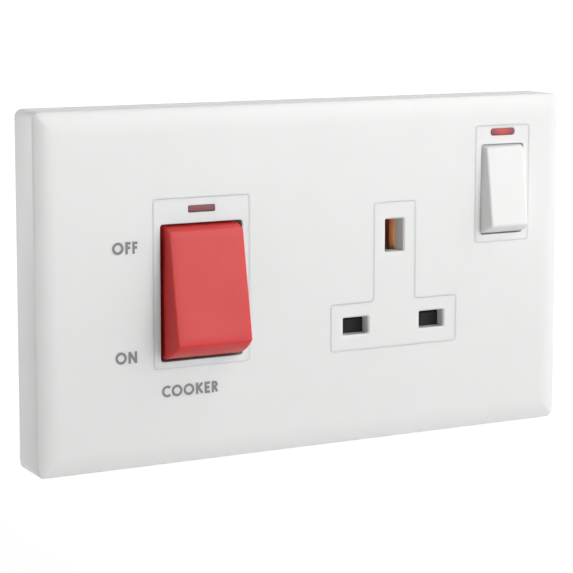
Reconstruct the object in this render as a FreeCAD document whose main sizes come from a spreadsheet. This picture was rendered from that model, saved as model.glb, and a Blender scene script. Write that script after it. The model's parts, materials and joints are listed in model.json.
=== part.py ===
"""Cooker control unit: clip-on front plate, inner carrier, double-pole cooker switch and a switched socket.

Frame: X to the right, Z up, the front faces -Y, and the wall plane is y = 0. Millimetres and degrees.
"""
import FreeCAD
import Part
import Sketcher
import math
import os
import re

os.makedirs("parts", exist_ok=True)
doc = FreeCAD.newDocument("cooker_control_unit")
sheet = doc.addObject("Spreadsheet::Sheet", "sizes")

SIZES = [
    # Front plate
    ("plate_width", "146"),
    ("plate_height", "86"),
    ("side_depth", "11.5"),
    ("crown_height", "1.2"),
    ("crown_width", "5.4"),
    ("plate_corner", "2"),
    ("plate_wall", "2.2"),
    ("seam_gap", "0.12"),
    ("face_depth", "=side_depth + crown_height"),
    ("crown_radius", "=(crown_width * crown_width + crown_height * crown_height) / (2 * crown_height)"),
    ("clip_offset", "40"),
    ("clip_half", "4"),
    ("clip_reach", "1.1"),
    ("clip_near", "5.6"),
    ("clip_far", "3.4"),
    ("clip_play", "0.3"),
    ("clip_toe", "0.2"),
    ("window_corner", "0.9"),
    ("hollow_corner", "0.5"),
    # Inner carrier
    ("cover_gap", "0.2"),
    ("tray_gap", "0.3"),
    ("tray_wall", "1.8"),
    ("tray_front", "2"),
    ("tray_depth", "=face_depth - plate_wall - cover_gap"),
    ("tray_floor", "=tray_depth - tray_front"),
    ("tray_half_width", "=plate_width / 2 - plate_wall - tray_gap"),
    ("tray_half_height", "=plate_height / 2 - plate_wall - tray_gap"),
    ("fixing_spacing", "120.6"),
    ("fixing_hole_radius", "2.1"),
    ("fixing_well_radius", "4.2"),
    ("fixing_boss_radius", "5.2"),
    ("fixing_floor", "2.5"),
    ("skirt_rear", "4"),
    ("skirt_side", "1.7"),
    ("skirt_end", "1.2"),
    ("well_side_gap", "0.3"),
    ("well_end_gap", "0.25"),
    ("trunnion_radius", "1.5"),
    ("trunnion_play", "0.05"),
    ("trunnion_length", "1.4"),
    ("cut_margin", "1"),
    # Cooker rocker
    ("cooker_x", "-30.75"),
    ("cooker_z", "0.95"),
    ("cooker_opening_width", "25.66"),
    ("cooker_opening_height", "41"),
    ("cooker_pivot_z", "-1.25"),
    ("cooker_pivot_depth", "3.5"),
    ("cooker_pivot_y", "=cooker_pivot_depth - face_depth"),
    ("cooker_rocker_radius", "16.3"),
    ("cooker_rocker_front", "9"),
    ("cooker_rocker_rear", "2"),
    ("cooker_rocker_width", "21.2"),
    ("cooker_rocker_taper", "0.75"),
    ("cooker_rocker_wall", "1.8"),
    ("cooker_tilt", "10.5"),
    ("rocker_edge", "0.6"),
    ("rocker_corner", "0.6"),
    ("well_corner", "0.7"),
    # Cooker switch poles
    ("pole_offset", "6"),
    ("cooker_boss_radius", "3.4"),
    ("cooker_boss_rear", "5.5"),
    ("cooker_plunger_radius", "2.1"),
    ("cooker_plunger_tail", "0.5"),
    ("cooker_plunger_reach", "13"),
    ("plunger_play", "0.1"),
    ("spring_wire", "0.25"),
    ("cooker_coil_radius", "1.6"),
    ("cooker_coil_pitch", "1.75"),
    ("arm_gap", "0.05"),
    ("cooker_arm_half_width", "2.5"),
    ("cooker_arm_thickness", "1.2"),
    ("cooker_arm_half_length", "14.8"),
    ("cooker_arm_seat", "2.2"),
    ("cooker_knuckle_radius", "1.5"),
    ("knuckle_play", "0.05"),
    ("cooker_arm_swing", "6.5"),
    ("cooker_arm_y", "=cooker_pivot_y + cooker_plunger_reach + arm_gap + cooker_arm_seat"),
    ("cooker_contact_reach", "12.4"),
    ("cooker_tip_radius", "2.1"),
    ("cooker_tip_height", "0.9"),
    ("cooker_tip_face", "=cooker_arm_seat - cooker_arm_thickness - cooker_tip_height"),
    ("contact_gap", "0.06"),
    ("dome_radius", "8"),
    ("tip_rim", "0.25"),
    ("arm_corner", "1"),
    ("plunger_nose", "0.3"),
    # Cooker base
    ("base_front", "3.9"),
    ("base_half_width", "13.2"),
    ("base_rear", "23"),
    ("base_wall", "1.5"),
    ("barrier_half", "0.9"),
    ("arm_end_play", "0.7"),
    ("chamber_half_height", "=cooker_arm_half_length + arm_end_play"),
    ("bay_near", "=chamber_half_height + base_wall"),
    ("bay_floor", "8.5"),
    ("pocket_floor", "7"),
    ("strap_thickness", "1.5"),
    ("chamber_floor", "=bay_floor + strap_thickness"),
    ("saddle_half", "2.4"),
    ("block_play", "0.2"),
    ("block_near", "=bay_near + block_play"),
    ("block_length", "9.4"),
    ("block_far", "=block_near + block_length"),
    ("block_inset", "1.4"),
    ("base_half_height", "=block_far + block_inset"),
    ("block_half_width", "4.8"),
    ("block_rear", "20.7"),
    ("cable_bore_y", "14.6"),
    ("cable_bore_radius", "3.3"),
    ("terminal_screw_radius", "2.4"),
    ("terminal_head_radius", "3.3"),
    ("terminal_head_height", "1.8"),
    ("slot_half", "0.45"),
    ("slot_depth", "0.9"),
    ("ear_x", "16.6"),
    ("ear_z", "10"),
    ("ear_half_height", "3.6"),
    ("ear_thickness", "2.5"),
    ("ear_hole_radius", "1.6"),
    ("screw_radius", "1.4"),
    ("pilot_radius", "1.42"),
    ("pilot_play", "0.07"),
    ("screw_end", "7.9"),
    ("screw_head_radius", "2.7"),
    ("screw_head_height", "1.7"),
    ("post_radius", "3.2"),
    ("ear_corner", "3"),
    ("base_corner", "1.2"),
    ("room_corner", "0.6"),
    ("block_corner", "0.8"),
    ("strip_round", "0.4"),
    ("screw_point", "0.4"),
    ("head_round", "0.5"),
    # Neon windows
    ("cooker_lens_z", "18.63"),
    ("cooker_lens_width", "7.07"),
    ("cooker_lens_height", "1.6"),
    ("cooker_lens_corner", "0.3"),
    ("lens_play", "0.05"),
    ("lens_flange_side", "1.2"),
    ("lens_flange_half_height", "1.6"),
    ("lens_flange_thickness", "0.9"),
    ("lens_flange_corner", "0.5"),
    ("lamp_radius", "1.6"),
    ("lamp_half_length", "6.8"),
    ("lamp_nose", "1.45"),
    ("lamp_play", "0.1"),
    ("lamp_rib_near", "5.9"),
    ("lamp_rib_far", "7.1"),
    ("lamp_rib_half_height", "2.05"),
    ("lamp_rib_rear", "2.9"),
    ("resistor_radius", "1.15"),
    ("resistor_length", "4.2"),
    ("resistor_round", "0.4"),
    ("lead_radius", "0.3"),
    ("lead_length", "1.2"),
    # Socket face and shutter
    ("socket_x", "22.95"),
    ("pin_row_z", "-13.4"),
    ("pin_pitch", "22.2"),
    ("stem_width", "12.28"),
    ("stem_top", "17.35"),
    ("foot_width", "36.85"),
    ("foot_top", "-7.55"),
    ("foot_bottom", "-19.65"),
    ("pin_slot_half_width", "3.6"),
    ("pin_slot_half_height", "2.2"),
    ("earth_slot_half_width", "2.65"),
    ("earth_slot_half_height", "4.15"),
    ("slot_corner", "0.3"),
    ("pin_lead", "0.38"),
    ("shutter_wall", "3.2"),
    ("shutter_play", "0.1"),
    ("shutter_half_width", "16"),
    ("shutter_top", "-9.8"),
    ("shutter_bottom", "-17"),
    ("shutter_thickness", "3.5"),
    ("shutter_ramp", "2.6"),
    ("shutter_travel", "5.8"),
    ("rail_width", "1.4"),
    ("shutter_spring_end", "-30"),
    ("shelf_half_width", "3"),
    ("shelf_height", "1.6"),
    ("shutter_coil_radius", "1.4"),
    ("shutter_coil_pitch", "1.8"),
    # Socket contacts
    ("leaf_thickness", "0.8"),
    ("leaf_gap", "1.9"),
    ("leaf_bend", "0.2"),
    ("leaf_shoulder", "0.4"),
    ("pin_lip_length", "1.5"),
    ("pin_lip_spread", "0.5"),
    ("lip_round", "1.2"),
    ("pin_leaf_front", "4.5"),
    ("pin_leaf_half_width", "3"),
    ("bar_front", "12"),
    ("bar_rear", "12.8"),
    ("earth_leaf_front", "8.1"),
    ("earth_leaf_half_height", "4"),
    ("earth_lip_length", "1.6"),
    ("earth_lip_spread", "0.7"),
    # Socket base
    ("socket_base_left", "2"),
    ("socket_base_right", "46"),
    ("socket_base_bottom", "-30"),
    ("socket_base_top", "19.6"),
    ("socket_base_rear", "14.6"),
    ("switch_base_rear", "9.6"),
    ("earth_bay_right", "15.5"),
    ("earth_bay_top", "32"),
    ("earth_block_front", "2.6"),
    ("earth_bore_y", "6.2"),
    ("earth_bore_radius", "2.5"),
    ("earth_screw_radius", "1.95"),
    ("earth_block_play", "0.9"),
    ("earth_strap_half", "3"),
    ("earth_strap_reach", "3.6"),
    ("socket_ear_half", "3.4"),
    ("socket_ear_left_x", "-1.3"),
    ("socket_ear_left_z", "-10"),
    ("socket_ear_right_x", "49.3"),
    ("socket_ear_right_z", "-15"),
    ("socket_ear_top_x", "38"),
    ("socket_ear_top_z", "22.9"),
    # Socket switch
    ("switch_x", "55.05"),
    ("switch_drop", "22.7"),
    ("switch_z", "=plate_height / 2 - switch_drop"),
    ("switch_opening_width", "16.5"),
    ("switch_opening_height", "30.2"),
    ("switch_pivot_drop", "1.4"),
    ("switch_pivot_z", "=switch_z - switch_pivot_drop"),
    ("switch_lens_rise", "13.32"),
    ("switch_lens_z", "=switch_z + switch_lens_rise"),
    ("switch_lens_width", "7.3"),
    ("switch_lens_height", "1.75"),
    ("switch_lens_corner", "0.75"),
    ("switch_pivot_depth", "3"),
    ("switch_pivot_y", "=switch_pivot_depth - face_depth"),
    ("switch_rocker_radius", "11.4"),
    ("switch_rocker_front", "5.8"),
    ("switch_rocker_rear", "2"),
    ("switch_rocker_width", "12.4"),
    ("switch_rocker_taper", "0.6"),
    ("switch_rocker_wall", "1.5"),
    ("switch_tilt", "8.2"),
    ("switch_boss_radius", "2.8"),
    ("switch_boss_rear", "4.5"),
    ("switch_plunger_radius", "1.7"),
    ("switch_plunger_tail", "0.5"),
    ("switch_plunger_reach", "11"),
    ("switch_coil_radius", "1.2"),
    ("switch_coil_pitch", "1.1"),
    ("switch_arm_half_width", "2"),
    ("switch_arm_thickness", "0.9"),
    ("switch_arm_half_length", "9.7"),
    ("switch_arm_seat", "1.8"),
    ("switch_knuckle_radius", "1.2"),
    ("switch_arm_swing", "7"),
    ("switch_arm_y", "=switch_pivot_y + switch_plunger_reach + arm_gap + switch_arm_seat"),
    ("switch_contact_reach", "7.9"),
    ("switch_tip_radius", "1.6"),
    ("switch_tip_height", "0.7"),
    ("switch_tip_face", "=switch_arm_seat - switch_arm_thickness - switch_tip_height"),
    ("switch_base_side", "7.8"),
    ("switch_base_below", "13.4"),
    ("switch_base_above", "12.6"),
    ("switch_base_left", "=socket_base_right - base_wall"),
    ("switch_base_right", "=switch_x + switch_base_side"),
    ("switch_base_bottom", "=switch_pivot_z - switch_base_below"),
    ("switch_base_top", "=switch_pivot_z + switch_base_above"),
    ("post_front", "5.4"),
    ("post_rear", "6.4"),
    ("post_saddle_half", "2"),
    ("post_bottom", "=switch_base_bottom + base_wall"),
    ("pad_reach", "5.2"),
    ("load_pad_near", "8.3"),
    ("pad_end_inset", "2.1"),
    # Inner bars
    ("link_front", "3.3"),
    ("link_rear", "2.3"),
    ("live_link_drop", "4.15"),
    ("live_link_height", "3"),
    ("live_link_low", "=cooker_pivot_z - block_near - live_link_drop"),
    ("live_link_high", "=live_link_low + live_link_height"),
    ("neutral_link_rise", "0.45"),
    ("neutral_link_height", "2.6"),
    ("neutral_link_low", "=cooker_pivot_z - block_far + neutral_link_rise"),
    ("neutral_link_high", "=neutral_link_low + neutral_link_height"),
    ("link_half_width", "1.5"),
    ("link_play", "0.3"),
    ("link_fit", "0.075"),
    ("link_bend", "1"),
    ("link_inner_bend", "0.3"),
    ("riser_left", "41.6"),
    ("riser_right", "44.2"),
    ("link_step_height", "1.6"),
    ("link_step_top", "=post_bottom + link_step_height"),
    ("strap_reach", "6.4"),
    ("strap_width", "2"),
    ("strap_left", "=switch_x - strap_reach"),
    ("strap_right", "=strap_left + strap_width"),
    ("strap_rise", "3"),
    ("strap_height", "2.5"),
    ("strap_low", "=post_bottom + strap_rise"),
    ("strap_high", "=strap_low + strap_height"),
    ("strap_top_drop", "5.5"),
    ("strap_top_low", "=switch_base_top - strap_top_drop"),
    ("strap_leg_left", "40.4"),
    ("strap_leg_right", "41.2"),
]
for row, (alias, size) in enumerate(SIZES, start=1):
    sheet.set(f"A{row}", alias)
    sheet.set(f"B{row}", size)
    sheet.setAlias(f"B{row}", alias)
doc.recompute()

ALIAS = re.compile(r"[a-z]+(?:_[a-z]+)+")
workings = doc.addObject("Spreadsheet::Sheet", "workings")
NEAR = 1e-4
FULL_TURN = 360
TURN = {
    "x": FreeCAD.Rotation(FreeCAD.Vector(0, 1, 0), 90),
    "y": FreeCAD.Rotation(FreeCAD.Vector(1, 0, 0), -90),
    "z": FreeCAD.Rotation(),
}
PLANES = {
    "x": FreeCAD.Rotation(FreeCAD.Vector(1, 1, 1), 120),
    "y": FreeCAD.Rotation(FreeCAD.Vector(1, 0, 0), 90),
    "z": FreeCAD.Rotation(),
}
nodes = {}


def bound(text):
    """Put the sheet's name before each size in an expression."""
    return ALIAS.sub(lambda found: "sizes." + found.group(0), text)


def bind(item, prop, text):
    item.setExpression(prop, bound(text))


def numbers(texts):
    """The numbers some expressions give now, worked out on a sheet of their own."""
    cells = [f"A{row}" for row in range(1, len(texts) + 1)]
    for cell, text in zip(cells, texts):
        workings.set(cell, "=" + bound(text))
    workings.recompute()
    return [float(workings.get(cell)) for cell in cells]


def box(name, x, y, z):
    """A block between two expressions on each axis."""
    item = doc.addObject("Part::Box", name)
    for prop, axis, (low, high) in zip(("Length", "Width", "Height"), "xyz", (x, y, z)):
        bind(item, prop, f"({high}) - ({low})")
        bind(item, f"Placement.Base.{axis}", low)
    return item


def rod(name, axis, radius, x, y, z):
    """A cylinder: the coordinate along its axis is a pair, the other two are its centre."""
    item = doc.addObject("Part::Cylinder", name)
    item.Placement = FreeCAD.Placement(FreeCAD.Vector(), TURN[axis])
    bind(item, "Radius", radius)
    for letter, place in zip("xyz", (x, y, z)):
        if letter == axis:
            bind(item, "Height", f"({place[1]}) - ({place[0]})")
            place = place[0]
        bind(item, f"Placement.Base.{letter}", place)
    return item


def ball(name, radius, x, y, z):
    item = doc.addObject("Part::Sphere", name)
    bind(item, "Radius", radius)
    for letter, place in zip("xyz", (x, y, z)):
        bind(item, f"Placement.Base.{letter}", place)
    return item


def profile(name, axis, corners):
    """A closed outline across an axis; each corner is two expressions and, if it is rounded, a radius.

    Across x the two run along Y and Z, across y along X and Z, and across z along X and Y.
    """
    sketch = doc.addObject("Sketcher::SketchObject", name)
    sketch.Placement = FreeCAD.Placement(FreeCAD.Vector(), PLANES[axis])
    count = len(corners)
    across = numbers([corner[0] for corner in corners])
    along = numbers([corner[1] for corner in corners])
    bends = numbers([corner[2] if len(corner) > 2 else "0" for corner in corners])
    spots = [FreeCAD.Vector(*place, 0) for place in zip(across, along)]
    ends = []
    arcs = {}
    for i, spot in enumerate(spots):
        back = (spots[i - 1] - spot).normalize()
        ahead = (spots[(i + 1) % count] - spot).normalize()
        half = back.getAngle(ahead) / 2
        inset = bends[i] / math.tan(half)
        ends.append((spot + back * inset, spot + ahead * inset))
        if bends[i]:
            middle = spot + (back + ahead).normalize() * (bends[i] / math.sin(half) - bends[i])
            leftward = back.cross(ahead).z < 0
            first, last = ends[i] if leftward else ends[i][::-1]
            arcs[i] = (Part.Arc(first, middle, last), (1, 2) if leftward else (2, 1))
    for i in range(count):
        sketch.addGeometry(Part.LineSegment(ends[i][1], ends[(i + 1) % count][0]))
    rules = []
    ties = []
    for i, (corner, spot) in enumerate(zip(corners, spots)):
        before = (i - 1) % count
        point = (i, 1)
        if i in arcs:
            bend, (first, last) = arcs[i]
            arc = sketch.addGeometry(bend)
            mark = sketch.addGeometry(Part.Point(spot), True)
            point = (mark, 1)
            rules.append(Sketcher.Constraint("Tangent", before, 2, arc, first))
            rules.append(Sketcher.Constraint("Tangent", i, 1, arc, last))
            rules.append(Sketcher.Constraint("PointOnObject", mark, 1, before))
            rules.append(Sketcher.Constraint("PointOnObject", mark, 1, i))
            ties.append((len(rules), corner[2]))
            rules.append(Sketcher.Constraint("Radius", arc, bends[i]))
        else:
            rules.append(Sketcher.Constraint("Coincident", before, 2, i, 1))
        for kind, text, length, line in (
            ("DistanceX", corner[0], spot.x, -2),
            ("DistanceY", corner[1], spot.y, -1),
        ):
            if text == "0":
                rules.append(Sketcher.Constraint("PointOnObject", *point, line))
            else:
                ties.append((len(rules), text))
                rules.append(Sketcher.Constraint(kind, -1, 1, *point, length))
    sketch.addConstraint(rules)
    for place, text in ties:
        bind(sketch, f"Constraints[{place}]", text)
    return sketch


def extruded(name, axis, span, corners):
    """An outline carried along its axis from the low to the high end of a span."""
    sketch = profile(name + "_outline", axis, corners)
    bind(sketch, f"Placement.Base.{axis}", span[1] if axis == "y" else span[0])
    item = doc.addObject("Part::Extrusion", name)
    item.Base = sketch
    item.DirMode = "Normal"
    item.Solid = True
    bind(item, "LengthFwd", f"({span[1]}) - ({span[0]})")
    return item


def rectangle(x, z, radius):
    return [(x[0], z[0], radius), (x[1], z[0], radius), (x[1], z[1], radius), (x[0], z[1], radius)]


def slab(name, x, y, z, radius):
    """A block whose four edges along Y are rounded."""
    return extruded(name, "y", y, rectangle(x, z, radius))


def lofted(name, y, first, last):
    """A solid along Y that changes straight from one outline to another."""
    sections = []
    for label, place, corners in (("first", y[0], first), ("last", y[1], last)):
        sketch = profile(f"{name}_{label}", "y", corners)
        bind(sketch, "Placement.Base.y", place)
        sections.append(sketch)
    item = doc.addObject("Part::Loft", name)
    item.Sections = sections
    item.Solid = True
    item.Ruled = True
    return item


def turned(name, corners):
    """An outline of radius against length, turned once about Z."""
    item = doc.addObject("Part::Revolution", name)
    item.Source = profile(name + "_outline", "y", corners)
    item.Axis = FreeCAD.Vector(0, 0, 1)
    item.Angle = FULL_TURN
    item.Solid = True
    return item


def fuse(name, *items):
    item = doc.addObject("Part::MultiFuse", name)
    item.Shapes = list(items)
    item.Refine = True
    return item


def common(name, *items):
    item = doc.addObject("Part::MultiCommon", name)
    item.Shapes = list(items)
    item.Refine = True
    return item


def cut(name, base, *tools):
    item = doc.addObject("Part::Cut", name)
    item.Base = base
    item.Tool = tools[0] if len(tools) == 1 else fuse(name + "_tools", *tools)
    item.Refine = True
    return item


def around(centre, half):
    return (f"{centre} - ({half})", f"{centre} + ({half})")


def ordered(sign, near, far):
    """Two places as low and high, when far lies on the given side of near."""
    return (near, far) if sign > 0 else (far, near)


def placed(item, axis, x, y, z):
    """Lay a piece modelled along Z along another axis, at a point."""
    item.Placement = FreeCAD.Placement(FreeCAD.Vector(), TURN[axis])
    for letter, place in zip("xyz", (x, y, z)):
        bind(item, f"Placement.Base.{letter}", place)
    return item


def swing(item, x, y, z, angle):
    """Put a piece modelled about its pivot into its rest pose."""
    item.Placement = FreeCAD.Placement(FreeCAD.Vector(), FreeCAD.Rotation(FreeCAD.Vector(1, 0, 0), 1))
    for letter, place in zip("xyz", (x, y, z)):
        bind(item, f"Placement.Base.{letter}", place)
    bind(item, "Placement.Rotation.Angle", f"({angle}) * 1 deg")
    return item


def spring(name, radius, pitch, length):
    """A compression spring along its own Z: a round wire section carried along a helix."""
    body = doc.addObject("PartDesign::Body", name)
    plane = next(item for item in body.Origin.OriginFeatures if item.Role == "XZ_Plane")
    section = body.newObject("Sketcher::SketchObject", name + "_section")
    section.AttachmentSupport = [(plane, "")]
    section.MapMode = "FlatFace"
    wire, reach = numbers(["spring_wire", radius])
    section.addGeometry(Part.Circle(FreeCAD.Vector(reach, 0, 0), FreeCAD.Vector(0, 0, 1), wire))
    section.addConstraint(Sketcher.Constraint("PointOnObject", 0, 3, -1))
    section.addConstraint(Sketcher.Constraint("DistanceX", -1, 1, 0, 3, reach))
    section.addConstraint(Sketcher.Constraint("Radius", 0, wire))
    bind(section, "Constraints[1]", radius)
    bind(section, "Constraints[2]", "spring_wire")
    doc.recompute()
    coil = body.newObject("PartDesign::AdditiveHelix", name + "_coil")
    coil.Profile = section
    coil.ReferenceAxis = (section, ["V_Axis"])
    coil.Mode = "pitch-height-angle"
    bind(coil, "Pitch", pitch)
    bind(coil, "Height", length)
    return body


def screw(name, x, z, tip, seat, radius, head_radius, head_height, slot_axis):
    """A slotted screw along Y whose head lies behind the seat."""
    top = f"{seat} + {head_height}"
    turning = turned(name + "_turning", [
        ("0", tip),
        (f"{radius} - screw_point", tip),
        (radius, f"({tip}) + screw_point"),
        (radius, seat),
        (head_radius, seat),
        (head_radius, top, "head_round"),
        ("0", top),
    ])
    wide = f"{head_radius} + cut_margin"
    slot_x, slot_z = (wide, "slot_half") if slot_axis == "x" else ("slot_half", wide)
    slot = box(name + "_slot", around(x, slot_x), (f"{top} - slot_depth", f"{top} + cut_margin"),
               around(z, slot_z))
    return cut(name, placed(turning, "y", x, "0", z), slot)


def tee(name, y, gap):
    """The T-shaped socket face, smaller all round by a gap."""
    foot = around("socket_x", f"foot_width / 2 - {gap}")
    stem = around("socket_x", f"stem_width / 2 - {gap}")
    bottom = f"foot_bottom + {gap}"
    shoulder = f"foot_top - {gap}"
    top = f"stem_top - {gap}"
    outer = f"window_corner - {gap}"
    inner = f"window_corner + {gap}"
    return extruded(name, "y", y, [
        (foot[0], bottom, outer),
        (foot[1], bottom, outer),
        (foot[1], shoulder, outer),
        (stem[1], shoulder, inner),
        (stem[1], top, outer),
        (stem[0], top, outer),
        (stem[0], shoulder, inner),
        (foot[0], shoulder, outer),
    ])


# Front plate
face = ("-face_depth", "0")
plate_block = slab("plate_block", around("0", "plate_width / 2"), face, around("0", "plate_height / 2"),
                   "plate_corner")
crown_y = ("-face_depth - cut_margin", "-side_depth")
crown_cuts = []
for side, sign in (("right", 1), ("left", -1)):
    inner = f"{sign} * (plate_width / 2 - crown_width)"
    outer = f"{sign} * (plate_width / 2 + cut_margin)"
    strip = box(f"crown_{side}_strip", ordered(sign, inner, outer), crown_y,
                around("0", "plate_height / 2 + cut_margin"))
    arc = rod(f"crown_{side}_arc", "z", "crown_radius", inner, "crown_radius - face_depth",
              around("0", "plate_height / 2 + 2 * cut_margin"))
    crown_cuts.append(cut(f"crown_{side}", strip, arc))
for side, sign in (("top", 1), ("bottom", -1)):
    inner = f"{sign} * (plate_height / 2 - crown_width)"
    outer = f"{sign} * (plate_height / 2 + cut_margin)"
    strip = box(f"crown_{side}_strip", around("0", "plate_width / 2 + cut_margin"), crown_y,
                ordered(sign, inner, outer))
    arc = rod(f"crown_{side}_arc", "x", "crown_radius", around("0", "plate_width / 2 + 2 * cut_margin"),
              "crown_radius - face_depth", inner)
    crown_cuts.append(cut(f"crown_{side}", strip, arc))
plate_hollow = slab("plate_hollow", around("0", "plate_width / 2 - plate_wall"),
                    ("plate_wall - face_depth", "cut_margin"), around("0", "plate_height / 2 - plate_wall"),
                    "hollow_corner")
through = ("-face_depth - cut_margin", "cut_margin")
plate_windows = [tee("socket_window", through, "0")]
for kind in ("cooker", "switch"):
    plate_windows.append(slab(f"{kind}_window", around(f"{kind}_x", f"{kind}_opening_width / 2"), through,
                              around(f"{kind}_z", f"{kind}_opening_height / 2"), "window_corner"))
plate_shell = cut("plate_shell", plate_block, *crown_cuts, plate_hollow, *plate_windows)
wall_z = "plate_height / 2 - plate_wall"
plate_clips = []
for i, (sx, sz) in enumerate(((1, 1), (-1, 1), (1, -1), (-1, -1))):
    root = f"{sz} * ({wall_z} + plate_wall / 2)"
    plate_clips.append(extruded(f"plate_clip_{i}", "x", around(f"{sx} * clip_offset", "clip_half"), [
        ("-clip_near", root),
        ("-clip_near", f"{sz} * ({wall_z} - clip_reach)", "clip_toe"),
        ("-clip_far", f"{sz} * ({wall_z} - clip_toe)"),
        ("-clip_far", root),
    ]))
nodes["front_plate"] = fuse("front_plate", plate_shell, *plate_clips)

# Inner carrier
tray_block = slab("tray_block", around("0", "tray_half_width"), ("-tray_depth", "0"),
                  around("0", "tray_half_height"), "plate_corner / 2")
tray_hollow = slab("tray_hollow", around("0", "tray_half_width - tray_wall"), ("-tray_floor", "cut_margin"),
                   around("0", "tray_half_height - tray_wall"), "hollow_corner")
tray = cut("tray", tray_block, tray_hollow)
island_y = ("-face_depth", "-tray_floor")
carrier_adds = [tee("socket_island", island_y, "seam_gap")]
carrier_cuts = []
for kind in ("cooker", "switch"):
    well_half = f"{kind}_rocker_width / 2 + well_side_gap"
    well_tall = f"{kind}_rocker_radius + well_end_gap"
    carrier_adds.append(slab(f"{kind}_island", around(f"{kind}_x", f"{kind}_opening_width / 2 - seam_gap"),
                             island_y, around(f"{kind}_z", f"{kind}_opening_height / 2 - seam_gap"),
                             "window_corner - seam_gap"))
    carrier_adds.append(slab(f"{kind}_skirt", around(f"{kind}_x", f"{well_half} + skirt_side"),
                             ("-tray_depth", "-skirt_rear"),
                             around(f"{kind}_pivot_z", f"{well_tall} + skirt_end"), "room_corner"))
    carrier_cuts.append(slab(f"{kind}_well", around(f"{kind}_x", well_half), through,
                             around(f"{kind}_pivot_z", well_tall), "well_corner"))
    carrier_cuts.append(rod(f"{kind}_bearing", "x", "trunnion_radius + trunnion_play",
                            around(f"{kind}_x", f"{well_half} + skirt_side + cut_margin"),
                            f"{kind}_pivot_y", f"{kind}_pivot_z"))
    carrier_cuts.append(slab(f"{kind}_lens_slot", around(f"{kind}_x", f"{kind}_lens_width / 2 + lens_play"),
                             through, around(f"{kind}_lens_z", f"{kind}_lens_height / 2 + lens_play"),
                             f"{kind}_lens_corner + lens_play"))
    lamp_y = "lens_flange_thickness + lamp_play + lamp_radius - tray_floor"
    for side, sign in (("left", -1), ("right", 1)):
        span = ordered(sign, f"{kind}_x + {sign} * lamp_rib_near", f"{kind}_x + {sign} * lamp_rib_far")
        carrier_adds.append(box(f"{kind}_lamp_rib_{side}", span,
                                ("-tray_depth + cut_margin", "-lamp_rib_rear"),
                                around(f"{kind}_lens_z", "lamp_rib_half_height")))
    carrier_cuts.append(rod(f"{kind}_lamp_seat", "x", "lamp_radius",
                            around(f"{kind}_x", "lamp_rib_far + cut_margin"), lamp_y, f"{kind}_lens_z"))
lead_y = ("-face_depth", "pin_lead - face_depth")
for name, x, z, wide, tall in (
    ("neutral", "socket_x - pin_pitch / 2", "pin_row_z", "pin_slot_half_width", "pin_slot_half_height"),
    ("live", "socket_x + pin_pitch / 2", "pin_row_z", "pin_slot_half_width", "pin_slot_half_height"),
    ("earth", "socket_x", "pin_row_z + pin_pitch", "earth_slot_half_width", "earth_slot_half_height"),
):
    carrier_cuts.append(slab(f"{name}_slot", around(x, wide), through, around(z, tall), "slot_corner"))
    carrier_cuts.append(lofted(f"{name}_lead_in", lead_y,
                               rectangle(around(x, f"{wide} + pin_lead"), around(z, f"{tall} + pin_lead"),
                                         "slot_corner + pin_lead"),
                               rectangle(around(x, wide), around(z, tall), "slot_corner")))
shutter_front = "shutter_wall - face_depth"
recess_y = (shutter_front, "-tray_floor + cut_margin")
carrier_cuts.append(box("shutter_recess", around("socket_x", "shutter_half_width + shutter_play"), recess_y,
                        ("shutter_bottom - shutter_travel - shutter_play", "shutter_top + shutter_play")))
carrier_cuts.append(box("spring_recess",
                        around("socket_x", "shutter_coil_radius + spring_wire + shutter_play"),
                        recess_y, ("shutter_spring_end", "shutter_bottom")))
rail_in = "shutter_half_width + shutter_play"
rail_z = ("shutter_bottom - shutter_travel", "shutter_top")
rail_y = ("-tray_depth + cut_margin", f"{shutter_front} + shutter_thickness")
for side, sign in (("left", -1), ("right", 1)):
    rail_x = ordered(sign, f"socket_x + {sign} * ({rail_in})",
                     f"socket_x + {sign} * ({rail_in} + rail_width)")
    carrier_adds.append(box(f"rail_{side}", rail_x, rail_y, rail_z))
carrier_adds.append(box("spring_shelf", around("socket_x", "shelf_half_width"),
                        ("-tray_depth + cut_margin", "-link_front - link_play"),
                        ("shutter_spring_end - shelf_height", "shutter_spring_end")))
for side, sign in (("left", -1), ("right", 1)):
    hole_x = f"{sign} * fixing_spacing / 2"
    carrier_adds.append(rod(f"fixing_boss_{side}", "y", "fixing_boss_radius", hole_x,
                            ("-tray_depth + cut_margin", "0"), "0"))
    carrier_cuts.append(rod(f"fixing_well_{side}", "y", "fixing_well_radius", hole_x,
                            ("-tray_depth - cut_margin", "-fixing_floor"), "0"))
    carrier_cuts.append(rod(f"fixing_hole_{side}", "y", "fixing_hole_radius", hole_x,
                            ("-fixing_floor - cut_margin", "cut_margin"), "0"))
COOKER_EARS = (
    ("cooker_upper_left", -1, "cooker_x - ear_x", "cooker_pivot_z + ear_z"),
    ("cooker_upper_right", 1, "cooker_x + ear_x", "cooker_pivot_z + ear_z"),
    ("cooker_lower_left", -1, "cooker_x - ear_x", "cooker_pivot_z - ear_z"),
    ("cooker_lower_right", 1, "cooker_x + ear_x", "cooker_pivot_z - ear_z"),
)
SOCKET_EARS = (
    ("socket_left", -1, "socket_ear_left_x", "socket_ear_left_z"),
    ("socket_right", 1, "socket_ear_right_x", "socket_ear_right_z"),
    ("socket_top", 0, "socket_ear_top_x", "socket_ear_top_z"),
)
for name, sign, x, z in COOKER_EARS + SOCKET_EARS:
    carrier_adds.append(rod(f"{name}_post", "y", "post_radius", x,
                            ("-tray_depth + cut_margin", "-base_front"), z))
    carrier_cuts.append(rod(f"{name}_pilot", "y", "pilot_radius", x, ("-screw_end - pilot_play", "0"), z))
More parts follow.
